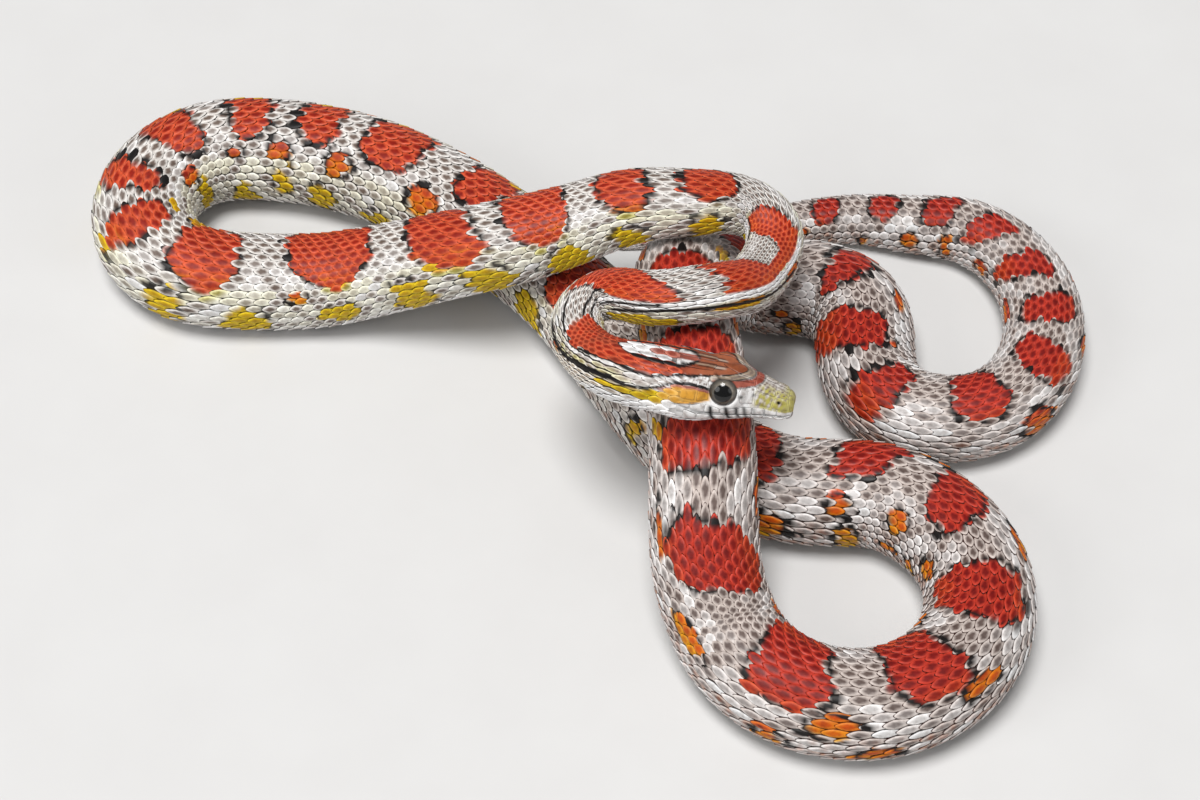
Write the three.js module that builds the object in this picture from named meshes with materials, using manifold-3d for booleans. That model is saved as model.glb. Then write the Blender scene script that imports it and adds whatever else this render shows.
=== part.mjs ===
// Corn snake at life size, coiled loosely over itself, as a museum model.
// Lengths in millimetres, +Z up, +X to the right and +Y away from the viewer.
// The belly rests on the floor at Z 0, and the upper coils lie on the lower ones.
import * as THREE from "three";
import Module from "manifold-3d";

const wasm = await Module();
wasm.setup();

// Driving dimensions of the body.
const sectionHeight = 0.914; // half height of a section over its half width
const bellyShare = 0.86; // how far down the half height the flat belly lies
const sectionSides = 16;
const ringSpacing = 5.2;
const cutGap = 0.3; // between neighbouring lengths
const sampleSpacing = 2;
const smoothingPasses = 8;

// Driving dimensions of the head.
const headLength = 29.8;
const headWidth = 17;
const crownBack = 8.2; // from the mouth line to the crown, behind the eyes
const crownSnout = 4.6;
const jawBack = 4.3; // from the mouth line to the throat
const jawChin = 1.7;
const snoutWidth = 7.6;
const headPitch = 3; // degrees, the snout dips
const headYaw = -12; // degrees, the snout swings toward the viewer
const headRoll = -15; // degrees, the near cheek turns up
const mouthGap = 0.3;
const eyeRadius = 3.3;
const eyeForward = 15; // from the head base to the middle of the eye
const eyeOut = 4.3;
const eyeUp = 4.3; // above the mouth line
const socketGap = 0.12;

// Width of the body at distances from the head base.
const widths = [
  { at: 0, width: 15 },
  { at: 9, width: 13.8 },
  { at: 22, width: 12 },
  { at: 36, width: 11.7 },
  { at: 58, width: 13.2 },
  { at: 102, width: 13.2 },
  { at: 120, width: 15.4 },
  { at: 138, width: 18.8 },
  { at: 165, width: 21 },
  { at: 215, width: 23.2 },
  { at: 310, width: 26.2 },
  { at: 350, width: 25.8 },
  { at: 400, width: 24.1 },
  { at: 500, width: 24.6 },
  { at: 650, width: 23.8 },
  { at: 715, width: 22.2 },
  { at: 772, width: 24.2 },
  { at: 800, width: 22.2 },
  { at: 827, width: 20.2 },
  { at: 867, width: 18.8 },
  { at: 900, width: 16.2 },
  { at: 925, width: 12.4 },
  { at: 960, width: 7.2 },
  { at: 985, width: 1.6 },
];

// A place that the belly passes through: x, y and its height above the floor.
function via(x, y, lift) {
  return [new THREE.Vector3(x, y, lift)];
}

// A round bend about a centre, from one angle to another, with the belly's height at both ends.
function bend({ x, y, across, deep = across, from, to, lift = 0, liftEnd = lift }) {
  const steps = Math.max(2, Math.round(Math.abs(to - from) / 25));
  return Array.from({ length: steps + 1 }, (_, i) => {
    const share = i / steps;
    const angle = THREE.MathUtils.degToRad(from + (to - from) * share);
    return new THREE.Vector3(
      x + across * Math.cos(angle),
      y + deep * Math.sin(angle),
      lift + (liftEnd - lift) * share,
    );
  });
}

const headBase = new THREE.Vector3(10.7, -23.2, 41);

// The line of the belly from the head base to the tip of the tail.
const route = [
  // The neck leaves the head, doubles back to the left and crosses the crest.
  [headBase.clone()],
  via(5.4, -21.2, 40),
  via(0.8, -16.4, 37.4),
  bend({ x: 3, y: -3.8, across: 8.7, deep: 9, from: -135, to: -255, lift: 35.2, liftEnd: 37.4 }),
  bend({ x: 15, y: 19, across: 20.3, from: -106, to: -75, lift: 41.2, liftEnd: 42.6 }),
  bend({ x: 15, y: 19, across: 20, from: -50, to: -32, lift: 38.6, liftEnd: 34.2 }),
  bend({ x: 30.8, y: 27.6, across: 8.8, from: -30, to: 100, lift: 29, liftEnd: 31.5 }),
  // The fore trunk runs left and comes down from the crossing to the floor.
  via(21, 33.4, 34),
  via(11, 34, 32.4),
  via(0, 34.8, 26),
  via(-9, 34.5, 22.5),
  via(-22.5, 33, 18.5),
  via(-36.5, 35, 11),
  via(-50.6, 37.5, 4),
  via(-64.8, 38.3, 0),
  // The left loop turns back toward the right.
  bend({ x: -86.8, y: 59.4, across: 21, from: -105, to: -275 }),
  // The middle of the trunk runs under both crossings.
  via(-69.6, 78.6, 0),
  via(-55, 74, 0),
  via(-41.6, 66.7, 0),
  via(-29.4, 57.8, 0),
  via(-18.7, 47.4, 0),
  via(-8.7, 36.4, 0),
  via(0.5, 22.8, 0),
  via(9, 8, 0),
  via(17.9, -5.9, 0),
  via(28.1, -16.8, 0),
  via(38.1, -22.9, 0),
  via(50, -24.4, 0),
  via(61, -24.8, 0),
  // The lower loop turns round to the left and climbs to the crest.
  bend({ x: 52.8, y: -52, across: 27.8, from: 45, to: -160 }),
  via(22.7, -50, 5),
  via(21.8, -41.8, 10.5),
  via(21.8, -32.9, 16.5),
  via(21.6, -23.7, 19.6),
  via(20.4, -8.2, 21.5),
  via(18.7, 9.2, 20.6),
  // Behind the crest it turns right and comes down to the floor.
  bend({ x: 31.2, y: 23, across: 13, deep: 13.6, from: 180, to: 100, lift: 16.2, liftEnd: 1.5 }),
  via(37.5, 36.6, 0),
  // The hind trunk turns toward the viewer and into the right coil.
  bend({ x: 47.3, y: 22.8, across: 13.3, from: 90, to: -15 }),
  via(61, 7.2, 0),
  via(66.8, -0.4, 0),
  bend({ x: 77.4, y: 28.3, across: 24.6, deep: 31, from: -98, to: 95 }),
  // The tail passes behind the hind trunk and ends under the fore trunk.
  via(64.2, 61.8, 0),
  via(53.6, 62.3, 0),
  via(42, 61.5, 0),
  via(28, 60, 0),
  via(15, 58.5, 0),
  via(4, 57, 0),
].flat();

// Where the lengths of each region are cut, as distances from the head base.
const neckCuts = [0, 14, 25, 34, 46, 66, 92, 108, 124];
const trunkCuts = [
  124, 168, 212, 250, 272, 296, 326, 376, 426, 468, 500, 524, 552, 580, 612, 650, 690, 722,
  744, 762, 790, 812, 834,
];
const tailCuts = [834, 862, 892, 926, 985];

const smoothed = (values, mix) => {
  let now = values;
  for (let pass = 0; pass < smoothingPasses; pass++) {
    now = now.map((v, i) => (i === 0 || i === now.length - 1 ? v : mix(now[i - 1], v, now[i + 1])));
  }
  return now;
};

// The belly line, sampled evenly and eased, with its running length.
const curve = new THREE.CatmullRomCurve3(route, false, "centripetal");
curve.arcLengthDivisions = 4000;
const samples = Math.round(curve.getLength() / sampleSpacing);
const belly = smoothed(curve.getSpacedPoints(samples), (a, b, c) =>
  a.clone().add(c).multiplyScalar(0.25).addScaledVector(b, 0.5),
);
const running = [0];
belly.slice(1).forEach((p, i) => running.push(running[i] + p.distanceTo(belly[i])));
export const bodyLength = running.at(-1);

// Reads a value between neighbouring stations.
function between(stations, distance, read, mix) {
  const last = stations.length - 2;
  let i = 0;
  while (i < last && stations[i + 1] < distance) i++;
  const share = THREE.MathUtils.clamp((distance - stations[i]) / (stations[i + 1] - stations[i]), 0, 1);
  return mix(read(i), read(i + 1), share);
}

const scale = bodyLength / widths.at(-1).at;
const rawWidths = running.map((d) =>
  between(widths.map((w) => w.at * scale), d, (i) => widths[i].width, THREE.MathUtils.lerp),
);
const easedWidths = smoothed(rawWidths, (a, b, c) => (a + c) / 4 + b / 2);

// The place, directions and half width of a section at a distance along the belly line.
export function sectionAt(distance) {
  const place = between(running, distance, (i) => belly[i], (a, b, t) => a.clone().lerp(b, t));
  const before = between(running, distance - 1.5, (i) => belly[i], (a, b, t) => a.clone().lerp(b, t));
  const after = between(running, distance + 1.5, (i) => belly[i], (a, b, t) => a.clone().lerp(b, t));
  const along = after.sub(before).normalize();
  const side = along.clone().cross(new THREE.Vector3(0, 0, 1)).normalize();
  const up = side.clone().cross(along);
  const half = between(running, distance, (i) => easedWidths[i], THREE.MathUtils.lerp) / 2;
  return { place, along, side, up, half };
}

// A length of the body: a cylinder laid along the belly line, its ends closed.
function bodyLengthGeometry(from, to) {
  const rings = Math.max(2, Math.round((to - from) / ringSpacing));
  const geometry = new THREE.CylinderGeometry(1, 1, 1, sectionSides, rings);
  const position = geometry.getAttribute("position");
  for (let i = 0; i < position.count; i++) {
    const distance = from + (position.getY(i) + 0.5) * (to - from);
    const { place, side, up, half } = sectionAt(distance);
    const reach = Math.hypot(position.getX(i), position.getZ(i));
    const sideways = position.getX(i) * half;
    const upward = (Math.max(position.getZ(i), -bellyShare * reach) + bellyShare) * half * sectionHeight;
    const p = place.addScaledVector(side, sideways).addScaledVector(up, upward);
    position.setXYZ(i, p.x, p.y, Math.max(p.z, 0));
  }
  return geometry;
}

// A rounded end: 1 until the last share of the way, then a quarter circle down to 0.
const roundedEnd = (share, from) => {
  const past = THREE.MathUtils.clamp((share - from) / (1 - from), 0, 1);
  return Math.sqrt(1 - past * past);
};

// Half width of the head at a share of the way from its base to the snout.
function headHalfWidth(share) {
  const neck = widths[0].width / 2;
  const cheek = THREE.MathUtils.lerp(neck, headWidth / 2, THREE.MathUtils.smoothstep(share, 0, 0.24));
  const muzzle = THREE.MathUtils.smoothstep(share, 0.2, 0.88);
  return THREE.MathUtils.lerp(cheek, snoutWidth / 2, muzzle) * (0.3 + 0.7 * roundedEnd(share, 0.87));
}

// Height of the crown over the mouth line, and depth of the jaw below it.
function crownHeight(share) {
  const height = THREE.MathUtils.lerp(crownBack, crownSnout, THREE.MathUtils.smoothstep(share, 0.52, 1));
  return height * (0.4 + 0.6 * roundedEnd(share, 0.88));
}

function jawDepth(share) {
  const depth = THREE.MathUtils.lerp(jawBack, jawChin, THREE.MathUtils.smoothstep(share, 0.2, 0.95));
  return depth * (0.4 + 0.6 * roundedEnd(share, 0.9));
}

const solidFrom = (geometry) => {
  const flat = geometry.toNonIndexed().getAttribute("position").array;
  const vertices = [];
  const index = [];
  const seen = new Map();
  for (let i = 0; i < flat.length; i += 3) {
    const key = [flat[i], flat[i + 1], flat[i + 2]].map((v) => v.toFixed(4)).join(" ");
    if (!seen.has(key)) {
      seen.set(key, seen.size);
      vertices.push(flat[i], flat[i + 1], flat[i + 2]);
    }
    index.push(seen.get(key));
  }
  const kept = [];
  for (let i = 0; i < index.length; i += 3) {
    const [a, b, c] = index.slice(i, i + 3);
    if (a !== b && b !== c && c !== a) kept.push(a, b, c);
  }
  return new wasm.Manifold(
    new wasm.Mesh({
      numProp: 3,
      vertProperties: new Float32Array(vertices),
      triVerts: new Uint32Array(kept),
    }),
  );
};

const geometryFrom = (solid) => {
  const mesh = solid.getMesh();
  const geometry = new THREE.BufferGeometry();
  geometry.setAttribute("position", new THREE.BufferAttribute(new Float32Array(mesh.vertProperties), 3));
  geometry.setIndex([...mesh.triVerts]);
  return geometry;
};

// The upper or lower half of the head, in its own frame: X forward, Y left, Z up from the mouth.
function headHalf(upper) {
  const rings = 12;
  const geometry = new THREE.CylinderGeometry(1, 1, 1, 24, rings);
  const position = geometry.getAttribute("position");
  for (let i = 0; i < position.count; i++) {
    const share = position.getY(i) + 0.5;
    const reach = Math.max(Math.hypot(position.getX(i), position.getZ(i)), 1e-6);
    const cos = position.getX(i) / reach;
    const sin = position.getZ(i) / reach;
    const round = Math.sign(cos) * Math.pow(Math.abs(cos), 0.8) * reach;
    const tall = Math.pow(Math.abs(sin), 0.85) * reach;
    const inset = upper ? 1 : 0.94;
    const sideways = round * headHalfWidth(share) * inset;
    const facing = upper ? sin >= 0 : sin <= 0;
    const height = upper ? crownHeight(share) : -jawDepth(share);
    const seam = (upper ? 0.5 : -0.5) * mouthGap;
    const forward = share * headLength * (upper ? 1 : 0.97);
    position.setXYZ(i, forward, -sideways, seam + (facing ? tall * height : 0));
  }
  return geometry;
}

const head = new THREE.Matrix4();
head.makeRotationFromEuler(
  new THREE.Euler(
    THREE.MathUtils.degToRad(headRoll),
    THREE.MathUtils.degToRad(headPitch),
    THREE.MathUtils.degToRad(headYaw),
    "ZYX",
  ),
);
head.setPosition(headBase.clone().add(new THREE.Vector3(0.4, 0, jawBack)));

const material = (name, color) => new THREE.MeshStandardMaterial({ name, color, roughness: 0.5 });

export const headPlaced = head;
const part = new THREE.Group();
part.name = "corn_snake";

function add(name, geometry, color) {
  const mesh = new THREE.Mesh(geometry, material(name, color));
  mesh.name = name;
  part.add(mesh);
}

const eyeAt = (sign) => new THREE.Vector3(eyeForward, sign * eyeOut, eyeUp + 0.5 * mouthGap);
const sphereAt = (radius, place) => wasm.Manifold.sphere(radius, 28).translate(place.toArray());

const cranium = [1, -1].reduce(
  (solid, sign) => solid.subtract(sphereAt(eyeRadius + socketGap, eyeAt(sign))),
  solidFrom(headHalf(true)),
);
add("head", geometryFrom(cranium).applyMatrix4(head), "#b5653f");
add("lower_jaw", headHalf(false).applyMatrix4(head), "#d8d2c4");
add("eye_right", geometryFrom(sphereAt(eyeRadius, eyeAt(-1))).applyMatrix4(head), "#4a4a48");
add("eye_left", geometryFrom(sphereAt(eyeRadius, eyeAt(1))).applyMatrix4(head), "#4a4a48");

function addLengths(region, cuts, colors) {
  cuts.slice(1).forEach((to, i) => {
    const first = region === "neck" && i === 0;
    const last = region === "tail" && i === cuts.length - 2;
    const from = cuts[i] * scale + (first ? 0.6 : 0.5 * cutGap);
    const end = last ? bodyLength : to * scale - 0.5 * cutGap;
    add(region + "_" + (i + 1), bodyLengthGeometry(from, end), colors[i % 2]);
  });
}

addLengths("neck", neckCuts, ["#c06a48", "#b7aca0"]);
addLengths("trunk", trunkCuts, ["#b84a2e", "#a89c94"]);
addLengths("tail", tailCuts, ["#b84a2e", "#a89c94"]);

// The origin is the middle of the part's outline on the floor.
const middle = new THREE.Box3().setFromObject(part, true).getCenter(new THREE.Vector3());
part.position.set(-middle.x, -middle.y, 0);

export default part;
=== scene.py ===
import bpy
import numpy as np
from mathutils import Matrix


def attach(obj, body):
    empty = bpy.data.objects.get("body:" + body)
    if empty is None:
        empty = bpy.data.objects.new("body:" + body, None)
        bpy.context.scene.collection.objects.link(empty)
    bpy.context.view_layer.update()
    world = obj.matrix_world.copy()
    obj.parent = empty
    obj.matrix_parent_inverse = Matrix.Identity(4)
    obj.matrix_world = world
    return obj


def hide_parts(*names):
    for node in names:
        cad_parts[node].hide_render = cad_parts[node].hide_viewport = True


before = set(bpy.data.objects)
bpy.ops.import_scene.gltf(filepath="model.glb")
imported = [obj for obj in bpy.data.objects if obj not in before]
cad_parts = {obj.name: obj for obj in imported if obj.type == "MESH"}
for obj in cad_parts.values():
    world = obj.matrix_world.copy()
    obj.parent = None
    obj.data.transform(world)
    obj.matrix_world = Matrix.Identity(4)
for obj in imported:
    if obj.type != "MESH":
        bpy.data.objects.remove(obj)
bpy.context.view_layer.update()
mm = 0.001
rng = np.random.default_rng(27)

# small helpers

def unit(v):
    return v / np.linalg.norm(v, axis=-1, keepdims=True)


def smooth(low, high, x):
    t = np.clip((x - low) / (high - low), 0, 1)
    return t * t * (3 - 2 * t)


def band(x, low, high, soft):
    return smooth(low - soft, low + soft, x) * (1 - smooth(high - soft, high + soft, x))


def bump(x, middle, spread):
    return np.exp(-(((x - middle) / spread) ** 2))


def linear(rgb):
    # screen values from 0 to 255 become the light values that the renderer uses
    v = np.array(rgb, float) / 255
    return np.where(v <= 0.04045, v / 12.92, ((v + 0.055) / 1.055) ** 2.4)


# the line of the belly

body = {
    "originShift": (4.296, -0.858, 0.0),
    "sampleSpacing": 2.0,
    "easingPasses": 8,
    "sectionHeight": 0.914,  # half height of a section over its half width
    "bellyFlat": 0.86,  # how far down the half height the belly is flat
    "neckTwist": 18,  # degrees the neck turns to meet the head
    "neckTwistEnd": 45,
    "coatShare": 0.055,  # depth of the scales over the half width
    "headCoat": 0.26,
    "headCoatEnd": 12,  # the head's depth gives way to the body's over this stretch of neck
    "tipLength": 1.6,  # the rounded end of the tail
    "widthAt": {
        0: 15, 9: 13.8, 22: 12, 36: 11.7, 58: 13.2, 102: 13.2, 120: 15.4, 138: 18.8, 165: 21,
        215: 23.2, 310: 26.2, 350: 25.8, 400: 24.1, 500: 24.6, 650: 23.8, 715: 22.2, 772: 24.2,
        800: 22.2, 827: 20.2, 867: 18.8, 900: 16.2, 925: 12.4, 960: 7.2, 985: 1.6,
    },
}  # fmt: skip


def bend(x, y, across, start, end, lift=0.0, liftEnd=None, deep=None):
    # points of an arc: centre plus across times cosine and deep times sine of the angle
    count = max(2, round(abs(end - start) / 25)) + 1
    share = np.linspace(0, 1, count)
    angle = np.radians(start + (end - start) * share)
    high = lift + ((lift if liftEnd is None else liftEnd) - lift) * share
    return np.stack([x + across * np.cos(angle), y + (deep or across) * np.sin(angle), high], 1)


headBase = np.array([10.7, -23.2, 41.0])
route = np.vstack([
    # the neck leaves the head, doubles back to the left and crosses the crest
    headBase, (5.4, -21.2, 40), (0.8, -16.4, 37.4),
    bend(3, -3.8, 8.7, -135, -255, 35.2, 37.4, deep=9),
    bend(15, 19, 20.3, -106, -75, 41.2, 42.6),
    bend(15, 19, 20, -50, -32, 38.6, 34.2),
    bend(30.8, 27.6, 8.8, -30, 100, 29, 31.5),
    # the fore trunk runs left and comes down to the floor, then turns back
    (21, 33.4, 34), (11, 34, 32.4), (0, 34.8, 26), (-9, 34.5, 22.5), (-22.5, 33, 18.5),
    (-36.5, 35, 11), (-50.6, 37.5, 4), (-64.8, 38.3, 0),
    bend(-86.8, 59.4, 21, -105, -275),
    # the middle of the trunk runs under both crossings
    (-69.6, 78.6, 0), (-55, 74, 0), (-41.6, 66.7, 0), (-29.4, 57.8, 0), (-18.7, 47.4, 0),
    (-8.7, 36.4, 0), (0.5, 22.8, 0), (9, 8, 0), (17.9, -5.9, 0), (28.1, -16.8, 0),
    (38.1, -22.9, 0), (50, -24.4, 0), (61, -24.8, 0),
    # the lower loop climbs to the crest and comes down behind it
    bend(52.8, -52, 27.8, 45, -160),
    (22.7, -50, 5), (21.8, -41.8, 10.5), (21.8, -32.9, 16.5), (21.6, -23.7, 19.6),
    (20.4, -8.2, 21.5), (18.7, 9.2, 20.6),
    bend(31.2, 23, 13, 180, 100, 16.2, 1.5, deep=13.6),
    (37.5, 36.6, 0),
    # the right coil and the tail
    bend(47.3, 22.8, 13.3, 90, -15),
    (61, 7.2, 0), (66.8, -0.4, 0),
    bend(77.4, 28.3, 24.6, -98, 95, deep=31),
    (64.2, 61.8, 0), (53.6, 62.3, 0), (42, 61.5, 0), (28, 60, 0), (15, 58.5, 0), (4, 57, 0),
])  # fmt: skip


def curveThrough(points, perSpan=80):
    # a cubic through the points; each span's end slopes weigh its neighbours by the square
    # roots of their distances, so that uneven points make no loops
    p = np.vstack([2 * points[0] - points[1], points, 2 * points[-1] - points[-2]])
    step = np.sqrt(np.linalg.norm(np.diff(p, axis=0), axis=1))[:, None]
    p0, p1, p2, p3 = p[:-3], p[1:-2], p[2:-1], p[3:]
    s0, s1, s2 = step[:-2], step[1:-1], step[2:]
    slope1 = ((p1 - p0) / s0 - (p2 - p0) / (s0 + s1) + (p2 - p1) / s1) * s1
    slope2 = ((p2 - p1) / s1 - (p3 - p1) / (s1 + s2) + (p3 - p2) / s2) * s1
    square = 3 * (p2 - p1) - 2 * slope1 - slope2
    cube = 2 * (p1 - p2) + slope1 + slope2
    t = np.linspace(0, 1, perSpan, endpoint=False)[None, :, None]
    spans = p1[:, None] + slope1[:, None] * t + square[:, None] * t**2 + cube[:, None] * t**3
    return np.vstack([spans.reshape(-1, 3), points[-1]])


def lengthsAlong(points):
    return np.concatenate([[0], np.cumsum(np.linalg.norm(np.diff(points, axis=0), axis=1))])


def eased(values):
    # each value becomes half itself and a quarter of each neighbour, several times over
    v = np.array(values, float)
    for _ in range(body["easingPasses"]):
        v[1:-1] = 0.25 * (v[:-2] + v[2:]) + 0.5 * v[1:-1]
    return v


def readColumns(at, stations, table):
    return np.stack([np.interp(at, stations, column) for column in table.T], -1)


dense = curveThrough(route)
denseRun = lengthsAlong(dense)
evenRun = np.linspace(0, denseRun[-1], round(denseRun[-1] / body["sampleSpacing"]) + 1)
belly = eased(readColumns(evenRun, denseRun, dense)) + body["originShift"]
running = lengthsAlong(belly)
bodyLength = running[-1]
widthStations = np.array(list(body["widthAt"])) * bodyLength / max(body["widthAt"])
halves = eased(np.interp(running, widthStations, list(body["widthAt"].values()))) / 2
ahead = readColumns(running + 1.5, running, belly) - readColumns(running - 1.5, running, belly)
along = unit(ahead)
toLeft = unit(np.cross(along, [0, 0, 1]))
upward = np.cross(toLeft, along)
lineTable = np.hstack([belly, toLeft, upward])
print("belly line", round(bodyLength, 1), "mm")


def halfWidth(c):
    # read from the table of widths, with a quarter circle at the tip of the tail
    beyond = np.clip((c - bodyLength) / body["tipLength"] + 1, 0, 1)
    tipTaper = np.sqrt(np.maximum(1 - beyond**2, 0))
    return np.interp(c, running, halves) * np.maximum(tipTaper, 0.02)


def blend(first, second, share):
    return first + (second - first) * share


def coatDepth(c):
    # the depth of the scales: even on the head, a share of the half width on the body
    trunk = body["coatShare"] * halfWidth(c)
    onNeck = blend(body["headCoat"], trunk, smooth(0, body["headCoatEnd"], c))
    return np.where(c < 0, body["headCoat"], onNeck)


# the head, in its own frame: x forward from the head base, y left, z up from the mouth

head = {
    "length": 29.8,
    "neckHalf": 7.5,
    "cheekHalf": 8.5,
    "cheekEnd": 0.24,  # places as shares of the length
    "snoutHalf": 3.8,
    "snoutFrom": 0.2,
    "snoutEnd": 0.88,
    "crownBack": 8.2,
    "crownSnout": 4.9,
    "crownFrom": 0.52,
    "jawBack": 4.3,
    "jawChin": 1.7,
    "jawFrom": 0.2,
    "jawEnd": 0.95,
    "sideRound": 0.87,  # where the snout begins to round in from the sides
    "topRound": 0.9,
    "bluntEnd": 0.988,
    "pitch": 3,
    "yaw": -12,
    "roll": -15,
    "eye": (15.0, 4.3, 4.45),
    "eyeRadius": 3.22,
    "eyeTilt": 19,  # degrees the eye looks up from straight out
    "eyeDepth": 0.8,  # the eye's thickness over its width
    "eyeLevel": 1.32,  # how far out along its line the ring round the eye lies
    "eyeRim": 0.22,
    "eyeSocket": (2.3, 2.85, 1.5),  # the skin sinks between these distances, by this much
    "eyeBlend": (3.3, 5.2),
    "brow": 0.3,
    "cheekHollow": 0.22,  # the hollow between eye and nostril
}


eyeTilt = np.radians(head["eyeTilt"])
eyeLine = np.array([0.06, np.cos(eyeTilt), np.sin(eyeTilt)])


def turned(axis, degrees):
    # the matrix of a turn about one axis
    cosine, sine = np.cos(np.radians(degrees)), np.sin(np.radians(degrees))
    a, b = {"x": (1, 2), "y": (2, 0), "z": (0, 1)}[axis]
    matrix = np.eye(3)
    matrix[[a, b], [a, b]] = cosine
    matrix[a, b], matrix[b, a] = -sine, sine
    return matrix


headTurn = turned("z", head["yaw"]) @ turned("y", head["pitch"]) @ turned("x", head["roll"])
headPlace = headBase + (0.4, 0, head["jawBack"]) + body["originShift"]


def roundedEnd(share, start):
    # 1 until the start, then a quarter circle down to 0
    return np.sqrt(np.maximum(1 - np.clip((share - start) / (1 - start), 0, 1) ** 2, 0))


def headPoint(x, turn, rise):
    # a section is a rounded box: half width and height times powers of the sine and cosine
    share = np.clip(x / head["length"], -1, 1)
    blunt = np.maximum(roundedEnd(share, head["bluntEnd"]), 0.02)
    topEnd = 0.4 + 0.6 * roundedEnd(share, head["topRound"])
    sideEnd = 0.3 + 0.7 * roundedEnd(share, head["sideRound"])
    wide = blend(head["neckHalf"], head["cheekHalf"], smooth(0, head["cheekEnd"], share))
    wide = blend(wide, head["snoutHalf"], smooth(head["snoutFrom"], head["snoutEnd"], share))
    crown = blend(head["crownBack"], head["crownSnout"], smooth(head["crownFrom"], 1, share))
    jaw = blend(head["jawBack"], head["jawChin"], smooth(head["jawFrom"], head["jawEnd"], share))
    wide = (wide * sideEnd + rise) * blunt
    crown = (crown * topEnd + rise) * blunt
    jaw = (jaw * topEnd + rise) * blunt
    across, up = np.sin(turn), np.cos(turn)
    y = np.sign(across) * np.abs(across) ** 0.8 * wide
    z = np.where(up > 0, np.abs(up) ** 0.85 * crown, -np.abs(up) ** 0.85 * jaw)
    # relief round the eye, over the brow and before the eye
    degrees = np.abs(np.degrees(turn))
    brow = head["brow"] * bump(degrees, 31, 8) * band(x, 12, 19.5, 1.5)
    hollow = head["cheekHollow"] * bump(x, 21.5, 2.2) * bump(degrees, 62, 14)
    y = y + np.sign(across) * (0.8 * brow - hollow)
    z = z + brow * 0.6
    # near the eye the skin lies level with a ring square to the eye's line, and sinks within it
    offset = np.stack([x - head["eye"][0], np.abs(y) - head["eye"][1], z - head["eye"][2]], -1)
    outward = offset @ eyeLine
    fromLine = np.sqrt(np.maximum((offset**2).sum(-1) - outward**2, 0))
    inner, outer, sunk = head["eyeSocket"]
    level = head["eyeLevel"] + head["eyeRim"] * bump(fromLine, 3.3, 0.36)
    level = level - sunk * (1 - smooth(inner, outer, fromLine))
    pull = (1 - smooth(*head["eyeBlend"], fromLine)) * smooth(-1.5, 0, outward)
    move = (level + rise - outward) * pull
    y = y + np.where(y < 0, -1, 1) * move * eyeLine[1]
    z = z + move * eyeLine[2]
    return np.stack([np.minimum(x, head["length"] + rise), y, z], -1) @ headTurn.T + headPlace


def bodyPoint(c, turn, rise):
    # sine across and cosine up times the half width, the cosine cut off at the flat belly
    row = readColumns(c, running, lineTable)
    half = halfWidth(c)
    twist = np.radians(body["neckTwist"]) * (1 - smooth(0, body["neckTwistEnd"], c))
    across = np.sin(turn + twist)
    up = np.maximum(np.cos(turn + twist), -body["bellyFlat"])
    height = body["sectionHeight"]
    middle = row[..., :3] + np.minimum(c, 0)[..., None] * along[0]
    middle = middle + unit(row[..., 6:]) * (body["bellyFlat"] * height * half)[..., None]
    reach = unit(row[..., 3:6]) * across[..., None] + unit(row[..., 6:]) * (height * up)[..., None]
    return middle + reach * (half + rise)[..., None]


def chartPoint(c, turn, rise=0.0):
    # the head eases into the neck round the head base; nothing goes below the floor
    rise = rise - coatDepth(c)
    weight = smooth(-2, 8, c)[..., None]
    point = headPoint(-c, turn, rise) * (1 - weight) + bodyPoint(c, turn, rise) * weight
    point[..., 2] = np.maximum(point[..., 2], 0)
    return point


def skinFrame(c, turn):
    # the place on the skin and the outward direction, from small steps along and round
    point = chartPoint(c, turn)
    stepAlong = chartPoint(c + 0.15, turn) - chartPoint(c - 0.15, turn)
    stepRound = chartPoint(c, turn + 0.012) - chartPoint(c, turn - 0.012)
    return point, unit(np.cross(stepRound, stepAlong) + 1e-9)


# markings

palette = {
    # each colour has a middle, a rim and a gap: darker middles, and painted shade in the gap at a
    # scale's foot
    "pale": ((110, 94, 84), (238, 233, 227), (26, 20, 17)),
    "taupe": ((98, 82, 76), (208, 195, 187), (56, 19, 11)),
    "saddle": ((140, 22, 0), (216, 88, 52), (64, 9, 2)),
    "saddleHind": ((118, 7, 2), (194, 58, 40), (52, 4, 2)),
    "ember": ((178, 54, 0), (214, 100, 36), (86, 24, 3)),
    "mustard": ((184, 146, 0), (224, 194, 24), (96, 74, 0)),
    "orange": ((186, 74, 0), (214, 118, 16), (84, 30, 3)),
    "black": ((14, 10, 9), (26, 21, 20), (7, 5, 5)),
    "white": ((224, 222, 220), (254, 254, 254), (58, 52, 48)),
    "cream": ((160, 142, 122), (250, 244, 234), (36, 27, 22)),
    "olive": ((152, 142, 50), (220, 214, 130), (56, 50, 18)),
    "snout": ((176, 168, 84), (224, 218, 146), (96, 88, 40)),
    "tan": ((206, 148, 52), (222, 176, 92), (100, 66, 26)),
    "spearFront": ((142, 76, 46), (186, 112, 80), (66, 32, 22)),
    "blush": ((146, 66, 50), (196, 120, 102), (74, 28, 22)),
    "mauve": ((122, 106, 98), (178, 164, 156), (66, 54, 48)),
    "rust": ((168, 88, 44), (206, 146, 108), (108, 48, 22)),
}
palette = {name: [linear(rgb) for rgb in colours] for name, colours in palette.items()}

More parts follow.
